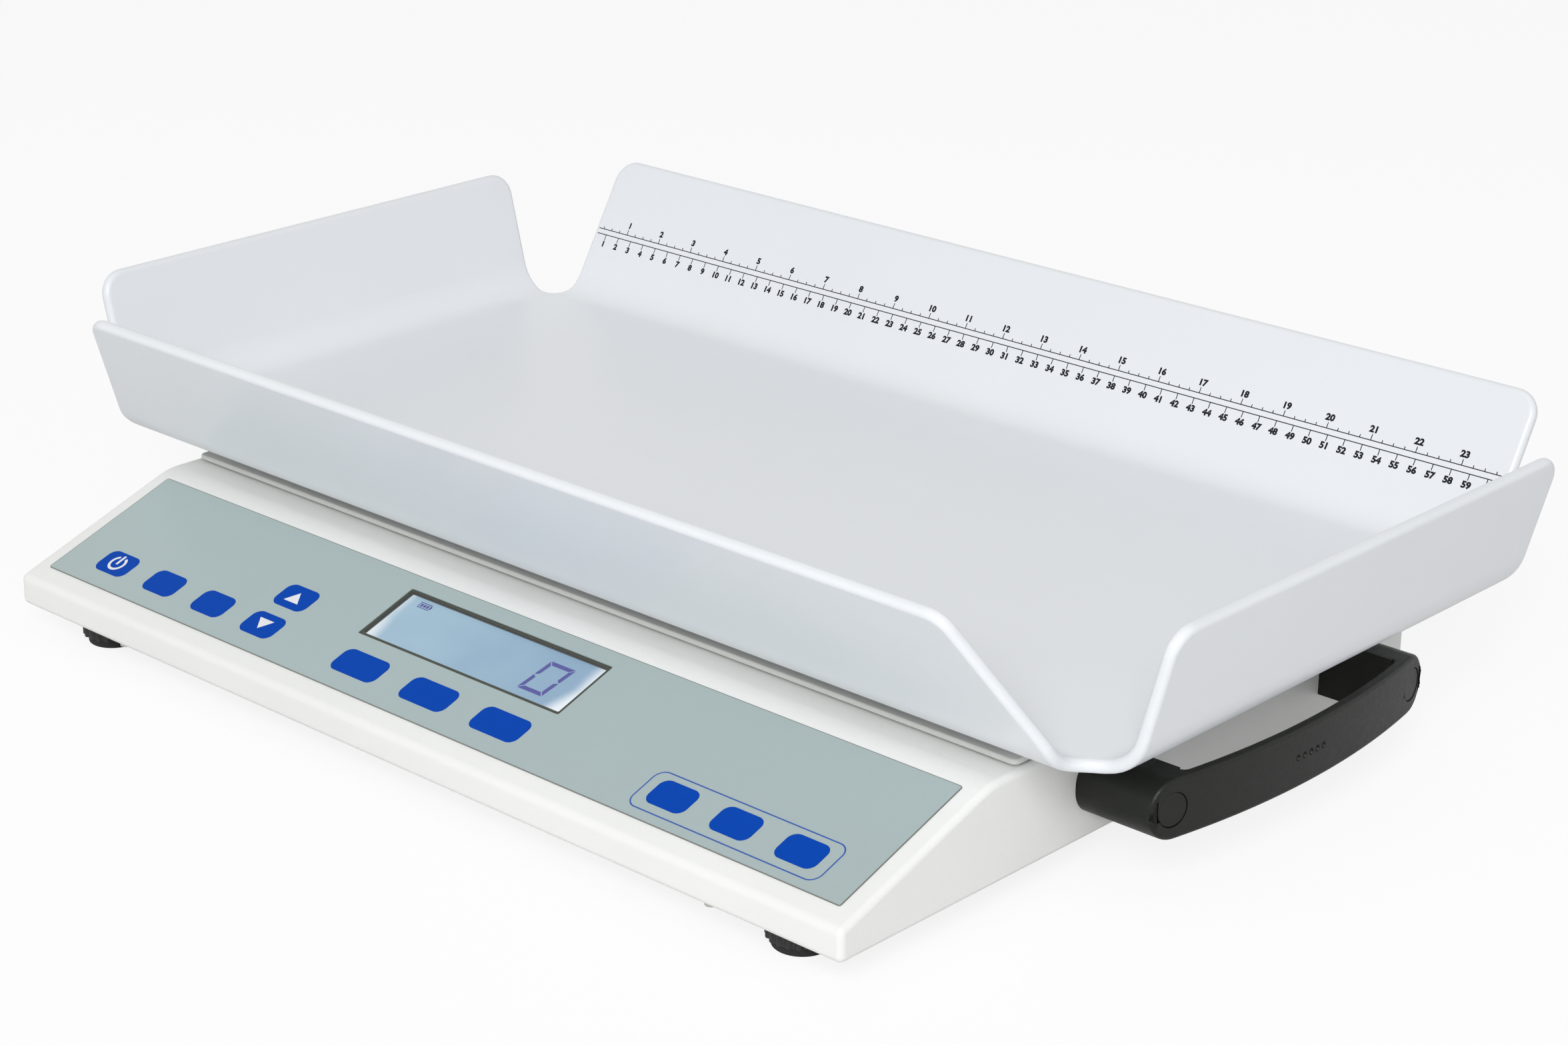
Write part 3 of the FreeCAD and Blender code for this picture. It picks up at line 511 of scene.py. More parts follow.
@dataclass(frozen=True)
class ClearPane(ConsoleFinish):
    """Clear window: gloss over what lies behind it, with a dark printed border."""

    shift: Point = (0.25, 0.3)
    half_w: float = 67.35
    half_h: float = 18.2
    border: float = 1.6
    corner_r: float = 0.6
    tint: Colour = (0.9, 0.95, 1.0)
    border_tint: Colour = (0.045, 0.05, 0.032)
    alpha: float = 0.05

    def build(self) -> None:
        """Makes the nodes."""
        graph = self.graph
        x, s = self.drawing()
        up = s - self.datum.window_s
        border = graph.frame_distance(x + self.shift[0], up - self.shift[1], self.half_w - self.border,
                                      self.half_h - self.border, self.corner_r).ramp(-0.06, 0.06)
        smear = graph.noise(14.0, 3.0)
        graph.surface(base=graph.mix(border, self.tint, self.border_tint),
                      roughness=0.04 + smear * 0.05 + border * 0.3,
                      alpha=border * (1.0 - self.alpha) + self.alpha)


@dataclass(frozen=True)
class Circuit(Finish):
    """Green solder resist with faint tracks."""

    def build(self) -> None:
        """Makes the nodes."""
        graph = self.graph
        x, y, _ = graph.place()
        tracks = ((x * 1.9).wave() * (y * 0.35).wave()).ramp(0.25, 0.4)
        graph.surface(base=graph.mix(tracks * 0.6, (0.01, 0.10, 0.04), (0.03, 0.22, 0.09)),
                      roughness=0.35 + graph.noise(3.0) * 0.1, normal=graph.bump(tracks, 0.03))


@dataclass(frozen=True)
class Sleeve(Finish):
    """Printed battery sleeve with plain bands."""

    def build(self) -> None:
        """Makes the nodes."""
        graph = self.graph
        band = (graph.place()[0] * 0.122).wave().ramp(0.55, 0.6)
        scuff = graph.noise(4.0, 3.0)
        graph.surface(base=graph.mix(band, (0.03, 0.03, 0.035), (0.55, 0.33, 0.10)), metallic=0.6,
                      roughness=0.25 + scuff * 0.15, normal=graph.bump(scuff, 0.01))


# ------------------------------------------------------------------ mesh tools
def edges_where(bm: BMesh, test: Callable[[Vector, Vector], bool]) -> list[BMEdge]:
    """Edges whose two ends pass a test, given in millimetres."""
    return [e for e in bm.edges if test(e.verts[0].co * 1000.0, e.verts[1].co * 1000.0)]


def round_off(bm: BMesh, geom: Iterable[Union[BMEdge, BMVert]], width: float, segments: int,
              affect: str = "EDGES") -> None:
    """Bevels edges, or the corners of a flat face."""
    bmesh.ops.bevel(bm, geom=list(geom), offset=width * MM, offset_type="OFFSET", affect=affect,
                    segments=segments, profile=0.5, material=-1, clamp_overlap=False)


def extrude(bm: BMesh, faces: Iterable[BMFace], step: Vector) -> None:
    """Extrudes faces along a step in metres."""
    grown = bmesh.ops.extrude_face_region(bm, geom=list(faces))["geom"]
    bmesh.ops.translate(bm, verts=[g for g in grown if isinstance(g, BMVert)], vec=step)


def block(bm: BMesh, low: Vector, high: Vector) -> None:
    """Adds a block between two corners in metres."""
    matrix = Matrix.Translation((low + high) / 2) @ Matrix.Diagonal((*(high - low), 1.0))
    bmesh.ops.create_cube(bm, size=1.0, matrix=matrix)


def drum(bm: BMesh, radius: float, start: Vector, end: Vector, segments: int) -> list[BMVert]:
    """Adds a capped cylinder.

    Args:
        bm: Where it goes.
        radius: Its radius.
        start: Middle of one end in millimetres.
        end: Middle of the other.
        segments: Its sides.

    Returns:
        Its vertices.
    """
    start, end = start * MM, end * MM
    axis = end - start
    turn = axis.to_track_quat("Z", "Y").to_matrix().to_4x4()
    return bmesh.ops.create_cone(bm, cap_ends=True, segments=segments, radius1=radius * MM,
                                 radius2=radius * MM, depth=axis.length,
                                 matrix=Matrix.Translation((start + end) / 2) @ turn)["verts"]


def plaque(place: Point, size: Point, radius: float, low: float, high: float, segments: int) -> BMesh:
    """Makes an upright slab with a rounded-rectangle plan.

    Args:
        place: Its middle in the drawing.
        size: Its width and height in the drawing.
        radius: Corner radius.
        low: Height of its underside.
        high: Height of its top.
        segments: Steps in each corner.

    Returns:
        The slab.
    """
    bm = bmesh.new()
    half_w, half_h = (side * MM / 2 for side in size)
    matrix = Matrix.Translation(vec(*place, low)) @ Matrix.Diagonal((half_w, half_h, 1, 1))
    corners = bmesh.ops.create_grid(bm, x_segments=1, y_segments=1, size=1.0, matrix=matrix)["verts"]
    round_off(bm, corners, radius, segments, "VERTICES")
    extrude(bm, bm.faces, vec(0, 0, high - low))
    return bm


def make_piece(bm: BMesh, name: str, finish: Finish, body: str, slot: str, stands_for: Sequence[str] = (),
               sharp: float = 35.0) -> Object:
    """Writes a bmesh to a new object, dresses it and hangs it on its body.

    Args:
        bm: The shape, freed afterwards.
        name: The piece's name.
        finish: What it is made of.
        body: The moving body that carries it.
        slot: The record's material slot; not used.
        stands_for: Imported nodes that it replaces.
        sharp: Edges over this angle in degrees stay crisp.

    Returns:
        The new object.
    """
    bmesh.ops.remove_doubles(bm, verts=bm.verts, dist=1e-6)
    bmesh.ops.recalc_face_normals(bm, faces=bm.faces)
    for face in bm.faces:
        face.smooth = True
    mesh = bpy.data.meshes.new(name)
    bm.to_mesh(mesh)
    bm.free()
    mesh.set_sharp_from_angle(angle=math.radians(sharp))
    made = linked(name, mesh)
    made.data.materials.append(finish.material())
    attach(made, body)
    if stands_for:
        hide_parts(*stands_for)
    log.info("piece %s: %d vertices on %s", name, len(mesh.vertices), body)
    return made


def weigh(piece: Object) -> None:
    """Lets the large faces rule the shading."""
    piece.modifiers.new("weights", "WEIGHTED_NORMAL").keep_sharp = True


def soften(piece: Object, width: float, segments: int = 3, angle: float = 50.0) -> None:
    """Adds a bevel and area-weighted normals.

    Args:
        piece: What is softened.
        width: Width of the bevel.
        segments: Steps in it.
        angle: Edges over this angle in degrees get it.
    """
    bevel = piece.modifiers.new("bevel", "BEVEL")
    bevel.width, bevel.segments = width * MM, segments
    bevel.limit_method, bevel.angle_limit = "ANGLE", math.radians(angle)
    weigh(piece)


def carve(piece: Object, cutter: BMesh, operation: str = "DIFFERENCE") -> None:
    """Takes the cutter's shape out of the piece for good, or keeps only what lies in it.

    Args:
        piece: What is carved.
        cutter: The shape, freed afterwards.
        operation: What the Boolean modifier does.
    """
    mesh = bpy.data.meshes.new("cutter")
    bmesh.ops.recalc_face_normals(cutter, faces=cutter.faces)
    cutter.to_mesh(mesh)
    cutter.free()
    tool = linked("cutter", mesh)
    step = piece.modifiers.new("carve", "BOOLEAN")
    step.object, step.operation, step.solver = tool, operation, "EXACT"
    carved = evaluated(piece)
    piece.modifiers.clear()
    old, piece.data = piece.data, carved
    bpy.data.meshes.remove(old)
    bpy.data.objects.remove(tool)


# ------------------------------------------------------------------ keys
class Sign(Enum):
    """Generic sign on a key."""

    NONE = "none"
    POWER = "power"
    UP = "up"
    DOWN = "down"


@dataclass(frozen=True)
class Key:
    """One key of the console."""

    name: str
    x: float
    s: float
    w: float = 22.3
    h: float = 15.3
    sign: Sign = Sign.NONE


KEYS = (
    Key("power", -229.4, 28.9, sign=Sign.POWER), Key("unit", -192.0, 28.9), Key("enter", -154.6, 28.9),
    Key("down", -117.2, 28.9, sign=Sign.DOWN), Key("up", -117.2, 51.1, sign=Sign.UP),
    Key("tare", -47.0, 28.9, 30.2), Key("clear", 0.1, 28.9, 30.2), Key("hold", 47.2, 28.9, 30.2),
    Key("before", 153.9, 28.9), Key("after", 190.8, 28.9), Key("amount", 227.7, 28.9),
)


# ------------------------------------------------------------------ housing
@dataclass
class Housing:
    """Folded sheet housing: upright front strip, sloping console, soft crest, flat top, open underneath."""

    datum: Datum
    finish: Finish
    bend_r: float = 3.2
    crest_r: float = 34.0
    sheet: float = 1.5
    flange: float = 12.0
    window_w: float = 134.7
    window_h: float = 36.4
    lap: float = 1.45
    key_room: float = 1.3

    def build(self) -> None:
        """Builds the shell with its bends, its openings and its flange."""
        d, bm = self.datum, bmesh.new()
        crest = d.front + d.console_run
        section = ((d.front, d.low), (d.front, d.base_z), (crest, d.top), (d.back, d.top), (d.back, d.low))
        side = bm.faces.new([bm.verts.new(vec(-d.half, y, z)) for y, z in section])
        extrude(bm, [side], vec(2 * d.half, 0, 0))
        bmesh.ops.recalc_face_normals(bm, faces=bm.faces)
        round_off(bm, edges_where(bm, lambda a, b: abs(a.y - crest) < NEAR and abs(b.y - crest) < NEAR),
                  self.crest_r * math.tan(d.tilt / 2), 10)
        round_off(bm, [e for e in bm.edges if e.calc_face_angle(0.0) > math.radians(30)], self.bend_r, 6)
        self._openings(bm)
        self._underside(bm)
        made = make_piece(bm, "housing_shell", self.finish, "base", "housing_coat", ("housing",), 60.0)
        wall = made.modifiers.new("wall", "SOLIDIFY")
        wall.thickness, wall.offset, wall.use_even_offset = self.sheet * MM, -1.0, True
        weigh(made)

    def _openings(self, bm: BMesh) -> None:
        """Cuts the console along the edges of its key and window openings and takes their faces away.

        Args:
            bm: The shell.
        """
        carry = self.datum.console()
        up, facing = carry.to_3x3() @ Vector((0, 1, 0)), carry.to_3x3() @ Vector((0, 0, 1))
        rooms = [(k.x, k.s, k.w + self.key_room, k.h + self.key_room) for k in KEYS]
        rooms.append((0.0, self.datum.window_s, self.window_w + 2 * self.lap, self.window_h + 2 * self.lap))

        def slope() -> list[BMFace]:
            """Faces of the console."""
            return [f for f in bm.faces if f.normal.dot(facing) > 0.99999]

        across = sorted({round(x + side * w / 2, 4) for x, _, w, _ in rooms for side in (-1, 1)})
        along = sorted({round(s + side * h / 2, 4) for _, s, _, h in rooms for side in (-1, 1)})
        for place, normal in ([(vec(x, 0, 0), Vector((1, 0, 0))) for x in across]
                              + [(carry @ vec(0, s, 0), up) for s in along]):
            faces = slope()
            edges, verts = {e for f in faces for e in f.edges}, {v for f in faces for v in f.verts}
            bmesh.ops.bisect_plane(bm, geom=[*faces, *edges, *verts], plane_co=place, plane_no=normal,
                                   dist=1e-7)
        back, doomed = carry.inverted(), []
        for face in slope():
            p = (back @ face.calc_center_median()) * 1000.0
            if any(abs(p.x - x) < w / 2 and abs(p.y - s) < h / 2 for x, s, w, h in rooms):
                doomed.append(face)
        bmesh.ops.delete(bm, geom=doomed, context="FACES")

    def _underside(self, bm: BMesh) -> None:
        """Leaves only a flange round the open underside.

        Args:
            bm: The shell.
        """
        low = self.datum.low * MM
        bottom = [f for f in bm.faces if f.normal.z < -0.999 and abs(f.calc_center_median().z - low) < 1e-5]
        bmesh.ops.inset_region(bm, faces=bottom, thickness=(self.flange - self.bend_r) * MM, depth=0.0,
                               use_even_offset=True)
        bmesh.ops.delete(bm, geom=bottom, context="FACES")


# ------------------------------------------------------------------ platform
@dataclass
class Platform:
    """Pressed cover with a short lip, and the rubber seats on it."""

    datum: Datum
    coat: Finish
    rubber: Finish
    corner_r: float = 3.0
    edge_r: float = 0.9
    sheet: float = 1.5
    hollow: float = 0.7
    seat_r: float = 12.0

    def build(self) -> None:
        """Builds the cover and the seats."""
        low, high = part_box("platform_plate")
        bm = bmesh.new()
        block(bm, low, high)
        round_off(bm, edges_where(bm, lambda a, b: abs(a.z - b.z) > 1), self.corner_r, 6)
        round_off(bm, edges_where(bm, lambda a, b: min(a.z, b.z) > high.z * 1000 - 0.01), self.edge_r, 4)
        bmesh.ops.inset_region(bm, faces=[f for f in bm.faces if f.normal.z < -0.99],
                               thickness=self.sheet * MM, depth=-self.hollow * MM, use_even_offset=True)
        weigh(make_piece(bm, "platform_cover", self.coat, "platform", "platform_coat", ("platform_plate",)))
        bm, (low, high), r = bmesh.new(), in_mm(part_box("tray_pads")), self.seat_r
        for x in (low.x + r, high.x - r):
            for y in (low.y + r, high.y - r):
                drum(bm, r, Vector((x, y, low.z)), Vector((x, y, high.z)), 56)
        soften(make_piece(bm, "rubber_seats", self.rubber, "platform", "rubber_black", ("tray_pads",)),
               self.edge_r)


# ------------------------------------------------------------------ prints
class Prints:
    """Thin raised prints: bars, plain numbers, rings and filled outlines on a carrying surface."""

    def __init__(self, carry: Matrix, rise: float = 0.02) -> None:
        """Starts an empty print on a surface; it stands proud by the rise and is let in by as much."""
        self.carry, self.rise = carry, rise
        self.bm = bmesh.new()

    def bar(self, x0: float, x1: float, y0: float, y1: float) -> None:
        """Adds an upright bar or line."""
        block(self.bm, vec(x0, y0, -self.rise), vec(x1, y1, self.rise))

    def shape(self, points: Iterable[Point]) -> None:
        """Adds a filled outline."""
        face = self.bm.faces.new([self.bm.verts.new(vec(x, y, -self.rise)) for x, y in points])
        extrude(self.bm, [face], vec(0, 0, self.rise * 2))

    def ring(self, x: float, y: float, radius: float, width: float, start: float, end: float) -> None:
        """Adds part of a ring.

        Args:
            x: Its middle across.
            y: Its middle up.
            radius: Outer radius.
            width: Width of the band.
            start: Where it begins, in degrees from +X.
            end: Where it ends.
        """
        a = math.radians(start)
        inner, outer = (vec(x + r * math.cos(a), y + r * math.sin(a), -self.rise)
                        for r in (radius - width, radius))
        up = vec(0, 0, self.rise * 2)
        face = self.bm.faces.new([self.bm.verts.new(p) for p in (inner, outer, outer + up, inner + up)])
        bmesh.ops.spin(self.bm, geom=[face, *face.edges, *face.verts], cent=vec(x, y, 0), axis=(0, 0, 1),
                       angle=math.radians(end - start), steps=40, use_merge=False)

    def number(self, text: str, x: float, y: float, size: float, slant: float, weight: float) -> None:
        """Adds a plain number.

        Args:
            text: Its digits.
            x: Middle across.
            y: Middle up the drawing.
            size: Height of a digit.
            slant: Lean of the digits.
            weight: Extra stroke.
        """
        curve = bpy.data.curves.new("digits", "FONT")
        curve.body, curve.align_x, curve.align_y = text, "CENTER", "CENTER"
        curve.size, curve.shear, curve.offset = size * MM * 1.42, slant, weight * MM
        curve.extrude, curve.resolution_u = self.rise * MM, 3
        holder = linked("digits", curve)
        mesh = evaluated(holder)
        mesh.transform(Matrix.Translation(vec(x, y, 0)) @ Matrix.Diagonal((1.1, 1.0, 1.0, 1.0)))
        self.bm.from_mesh(mesh)
        bpy.data.objects.remove(holder)
        bpy.data.curves.remove(curve)
        bpy.data.meshes.remove(mesh)

    def finish(self, name: str, ink: Finish, body: str, slot: str) -> None:
        """Ends the print as a piece."""
        bmesh.ops.transform(self.bm, matrix=self.carry, verts=self.bm.verts)
        make_piece(self.bm, name, ink, body, slot)


@dataclass
class Ruler:
    """Inch and centimetre ruler printed along the inside of the back flap; lean is in radians."""

    datum: Datum
    ink: Finish
    thickness: float = 6.0
    reach: float = 200.7
    rise: float = 135.4
    lean: float = math.radians(30.3)
    zero: float = -305.4
    half: float = 302.6
    inch_z: float = 113.84
    cm_z: float = 111.18
    quarters: int = 96
    centimetres: int = 60
    line: float = 0.48
    inch_mark: float = 3.0
    quarter_mark: float = 1.5
    cm_mark: float = 3.2
    number_gap: float = 2.4
    digit: float = 3.2
    weight: float = 0.25
    slant: float = 0.03

    @property
    def rim(self) -> float:
        """Height of the middle of the back flap's rim."""
        return self.datum.low + self.rise

    def carry(self) -> Matrix:
        """Places a drawing with X along the flap and Y up it on the flap's inner face.

        Returns:
            The matrix that carries the drawing there.
        """
        normal = Vector((0, -math.cos(self.lean), math.sin(self.lean)))
        up = Vector((0, math.sin(self.lean), math.cos(self.lean)))
        origin = vec(0, self.datum.tray_mid + self.reach, self.rim) + normal * (self.thickness / 2 * MM)
        return Matrix.Translation(origin) @ Matrix((Vector((1, 0, 0)), up, normal)).transposed().to_4x4()

    def height(self, z: float) -> float:
        """Place up the flap of a point of the inner face at that height."""
        return (z - self.rim - self.thickness / 2 * math.sin(self.lean)) / math.cos(self.lean)

    def build(self) -> None:
        """Builds both lines, their marks and their numbers."""
        prints = Prints(self.carry(), 0.03)
        upper, lower, w = self.height(self.inch_z), self.height(self.cm_z), self.line / 2
        for level in (upper, lower):
            prints.bar(-self.half, self.half, level - w, level + w)
        for i in range(self.quarters + 1):
            x, whole = self.zero + i * 25.4 / 4, i % 4 == 0
            if abs(x) < self.half:
                prints.bar(x - w, x + w, upper, upper + (self.inch_mark if whole else self.quarter_mark))
                if whole:
                    prints.number(str(i // 4), x, upper + self.inch_mark + self.number_gap, self.digit,
                                  self.slant, self.weight)
        for i in range(1, self.centimetres + 1):
            x = self.zero + i * 10.0
            if x < self.half:
                prints.bar(x - w, x + w, lower - self.cm_mark, lower)
                prints.number(str(i), x, lower - self.cm_mark - self.number_gap, self.digit, self.slant,
                              self.weight)
        prints.finish("ruler_print", self.ink, "tray", "key_blue")


# ------------------------------------------------------------------ console
ARROWS = {
    Sign.UP: ((-5.6, -3.5), (4.4, -3.5), (-0.6, 3.6)),
    Sign.DOWN: ((-5.6, 3.8), (-0.6, -3.2), (4.4, 3.8)),
}


@dataclass
class Keypad:
    """Key caps lying almost level with the film, with their signs."""

    datum: Datum
    blue: Finish
    white: Finish
    radius: float = 4.7
    spread: float = 0.2
    root: float = -0.6
    proud: float = 0.08
    edge_r: float = 0.06

    def build(self) -> None:
        """Builds every key and its sign."""
        for key in KEYS:
            bm = plaque((key.x, key.s), (key.w + self.spread, key.h + self.spread), self.radius, self.root,
                        self.datum.film + self.proud, 10)
            bmesh.ops.transform(bm, matrix=self.datum.console(), verts=bm.verts)
            cap = make_piece(bm, "cap_" + key.name, self.blue, "key_" + key.name, "key_blue",
                             ("key_" + key.name,))
            soften(cap, self.edge_r, 2)
            if key.sign is not Sign.NONE:
                self._sign(key)

    def _sign(self, key: Key) -> None:
        """Prints a key's sign on its cap.

        Args:
            key: The key.
        """
        prints = Prints(self.datum.console(self.datum.film + self.proud))
        if key.sign is Sign.POWER:
            prints.ring(key.x - 0.4, key.s + 0.3, 5.2, 1.5, 118.0, 422.0)
            prints.bar(key.x - 1.15, key.x + 0.35, key.s - 0.6, key.s + 6.0)
        else:
            prints.shape((key.x + x, key.s + s) for x, s in ARROWS[key.sign])
        prints.finish("sign_" + key.name, self.white, "key_" + key.name, "key_blue")


@dataclass
class Display:
    """What the lit display shows: a zero and a battery sign."""

    datum: Datum
    ink: Finish
    level: float = -1.9
    zero_x: Point = (33.4, 49.4)
    zero_s: Point = (53.6, 74.4)
    stroke: float = 2.3
    gap: float = 0.35
    slant: float = 0.12
    battery: Point = (-57.6, 75.0)
    battery_size: Point = (7.6, 3.9)
    battery_line: float = 0.5
    cells: int = 3

    def build(self) -> None:
        """Builds the signs on the display's face."""
        prints = Prints(self.datum.console(self.level))
        self._zero(prints)
        self._battery(prints)
        prints.finish("display_signs", self.ink, "base", "display_pane")

    def _zero(self, prints: Prints) -> None:
        """Adds six bars of a seven-bar zero.

        Args:
            prints: Where they go.
        """
        (x0, x1), (y0, y1), t, gap = self.zero_x, self.zero_s, self.stroke, self.gap
        mid = (y0 + y1) / 2

        def lean(points: Sequence[Point]) -> list[Point]:
            """Slants an outline."""
            return [(x + (y - mid) * self.slant, y) for x, y in points]

        for y, sign in ((y1, -1), (y0, 1)):
            prints.shape(lean([(x0 + gap, y), (x1 - gap, y), (x1 - gap - t, y + sign * t),
                               (x0 + gap + t, y + sign * t)][::sign]))
        for x, inward in ((x0, 1), (x1, -1)):
            for near, step in ((y0, 1), (y1, -1)):
                points = [(x, near + step * gap), (x + inward * t, near + step * (gap + t)),
                          (x + inward * t, mid - step * (gap + t * 0.5)),
                          (x + inward * t * 0.4, mid - step * gap), (x, mid - step * gap)]
                prints.shape(lean(points if inward * step < 0 else points[::-1]))

    def _battery(self, prints: Prints) -> None:
        """Adds a battery's outline with its pole and its cells.

        Args:
            prints: Where they go.
        """
        (x, y), (w, h), t = self.battery, self.battery_size, self.battery_line
        for x0, x1, y0, y1 in ((x, x + w, y, y + t), (x, x + w, y + h - t, y + h), (x, x + t, y, y + h),
                               (x + w - t, x + w, y, y + h), (x + w, x + w + 0.7, y + 1.0, y + h - 1.0)):
            prints.bar(x0, x1, y0, y1)
        for i in range(self.cells):
            prints.bar(x + 1.05 + i * 1.95, x + 2.55 + i * 1.95, y + 0.95, y + h - 0.95)


# ------------------------------------------------------------------ handles
@dataclass
class Handle:
    """Bowed bridge handle with a thin grip, two legs and a cap over each bolt.

    Shapes are drawn for the right side: x is the place across, y and z run along and up from its middle.
    """

    datum: Datum
    grip: Finish
    half: float = 102.1
    leg: float = 22.8
    radius: float = 457.5
    centre_x: float = -132.5
    depth: float = 5.4
    height: float = 28.5
    plan_r: float = 2.6
    side_r: float = 13.4
    join_r: float = 2.5
    edge_r: float = 1.9
    corner: float = 51.0  # half of the angle between bow and leg, in degrees
    from_back: float = 150.5
    mid_z: float = 26.8
    bolt: float = 90.3
    cap_r: float = 7.8
    cap_gap: float = 0.22
    cap_drop: float = 0.3
    dimples: int = 5
    dimple_r: float = 1.5
    dimple_start: float = -12.2
    dimple_pitch: float = 4.75

    @property
    def middle(self) -> Vector:
        """Middle of the handle at the wall."""
        return Vector((self.datum.half, self.datum.back - self.from_back, self.datum.low + self.mid_z))

    def bow(self, y: float, radius: float) -> float:
        """Place across of an arc of the bow at a distance along from the handle's middle."""
        return self.centre_x + math.sqrt(radius ** 2 - y ** 2)

    def at(self, x: float, y: float, z: float = 0.0) -> Vector:
        """Point from its place across, and its place along and up from the handle's middle."""
        return Vector((x, self.middle.y + y, self.middle.z + z))

    def build(self) -> None:
        """Builds the right handle and its mirror image."""
        for side, sign in (("right", 1), ("left", -1)):
            body = make_piece(self._turned(self._plan(), sign), "grip_" + side, self.grip, "base",
                              "grip_black", ("handle_" + side,))
            carve(body, self._turned(self._outline(), sign), "INTERSECT")
            for tool in (self._recesses(), self._marks()):
                carve(body, self._turned(tool, sign))
            self._soften(body)
            caps = make_piece(self._turned(self._caps(), sign), "bolt_caps_" + side, self.grip, "base",
                              "black_plastic", ("caps_" + side,))
            soften(caps, 0.4)

    def _soften(self, body: Object) -> None:
        """Rounds the long edges and ends, and leaves the wall side and the marks crisp.

        Args:
            body: The carved grip.
        """
        bm, m, chosen = bmesh.new(), self.middle, []
        bm.from_mesh(body.data)
        bmesh.ops.remove_doubles(bm, verts=bm.verts, dist=2e-6)
        for edge in bm.edges:
            if len(edge.link_faces) != 2 or edge.calc_face_angle(0.0) < math.radians(34.0):
                continue
            p = (edge.verts[0].co + edge.verts[1].co) * 500.0 - m
            outer = self.height / 2 - abs(p.z) < 0.3 or abs(p.y) > self.half - self.side_r - 0.5
            bolt = math.hypot(abs(p.y) - self.bolt, p.z) < self.cap_r + 2.4
            if outer and not bolt and min(abs(v.co.x * 1000.0) for v in edge.verts) > m.x + 0.5:
                chosen.append(edge)
        round_off(bm, chosen, self.edge_r, 4)
        bm.to_mesh(body.data)
        bm.free()
        for polygon in body.data.polygons:
            polygon.use_smooth = True
        body.data.set_sharp_from_angle(angle=math.radians(36.0))
        weigh(body)

    @staticmethod
    def _turned(bm: BMesh, sign: int) -> BMesh:
        """Mirrors a shape to the left side where the sign is negative.

        Args:
            bm: The shape for the right side.
            sign: The side.

        Returns:
            The same shape, mirrored or not.
        """
        if sign < 0:
            bmesh.ops.scale(bm, vec=(-1, 1, 1), verts=bm.verts)
            bmesh.ops.reverse_faces(bm, faces=bm.faces)
        return bm

    def _plan(self) -> BMesh:
        """Draws the bow and its legs from above and gives them more than their height.

        Returns:
            The raised plan.
        """
        bm, m, inner, inner_r = bmesh.new(), self.middle, self.half - self.leg, self.radius - self.depth
        sides = [(-self.half, m.x), (-self.half, self.bow(self.half, self.radius)),
                 (self.half, self.bow(self.half, self.radius)), (self.half, m.x), (inner, m.x),
                 (inner, self.bow(inner, inner_r)), (-inner, self.bow(inner, inner_r)), (-inner, m.x)]
        spare = 2.0
        low = -self.height / 2 - spare
        bm.faces.new([bm.verts.new(self.at(x, y, low) * MM) for y, x in sides])

        def corners(y: float, x: float) -> list[BMVert]:
            """Both corners of the plan at that distance from its middle."""
            return [v for v in bm.verts if abs(abs(v.co.y * 1000.0 - m.y) - y) < 0.01
                    and abs(v.co.x * 1000.0 - x) < 0.01]

        for (y, x), cuts, radius in ((sides[2], 39, self.radius), (sides[5], 19, inner_r)):
            ends = corners(y, x)
            edge = [e for e in bm.edges if e.verts[0] in ends and e.verts[1] in ends]
            for made in bmesh.ops.subdivide_edges(bm, edges=edge, cuts=cuts)["geom_inner"]:
                if isinstance(made, BMVert):
                    made.co.x = self.bow(made.co.y * 1000.0 - m.y, radius) * MM
        for (y, x), radius in ((sides[2], self.plan_r), (sides[5], self.join_r)):
            round_off(bm, corners(y, x), radius / math.tan(math.radians(self.corner)), 8, "VERTICES")
        extrude(bm, bm.faces, vec(0, 0, self.height + 2 * spare))
        return bm

    def _outline(self) -> BMesh:
        """Draws the handle's rounded outline from its side.

        Returns:
            The outline as a slab across the whole handle.
        """
        m = self.middle
        bm = plaque((m.y, m.z), (2 * self.half + 0.04, self.height), self.side_r, m.x - 2.0, m.x + 70.0, 12)
        bmesh.ops.transform(bm, matrix=Matrix(((0, 0, 1), (1, 0, 0), (0, 1, 0))).to_4x4(), verts=bm.verts)
        return bm

    def _recesses(self) -> BMesh:
        """Makes room for the caps over the bolts.

        Returns:
            Two drums.
        """
        bm, face = bmesh.new(), self.bow(self.bolt, self.radius)
        for y in (-self.bolt, self.bolt):
            drum(bm, self.cap_r + self.cap_gap, self.at(face - 12.0, y), self.at(face + 20.0, y), 64)
        return bm

    def _marks(self) -> BMesh:
        """Draws the lifting slots beside the caps and the row of small dimples on the bow.

        Returns:
            Slots and dimples.
        """
        bm, face = bmesh.new(), self.bow(self.bolt, self.radius)
        for y in (-self.bolt - self.cap_r, self.bolt - self.cap_r):
            block(bm, self.at(face - 3.0, y - 0.6, -3.9) * MM, self.at(face + 9.0, y + 0.8, -0.5) * MM)
        for i in range(self.dimples):
            y = self.dimple_start + self.dimple_pitch * i
            shape = (Matrix.Translation(self.at(self.bow(y, self.radius) + 0.25, y, 0.6) * MM)
                     @ Matrix.Diagonal((1.0, 1.0, 1.1, 1.0)))
            bmesh.ops.create_uvsphere(bm, u_segments=32, v_segments=24, radius=self.dimple_r * MM,
                                      matrix=shape)
        return bm

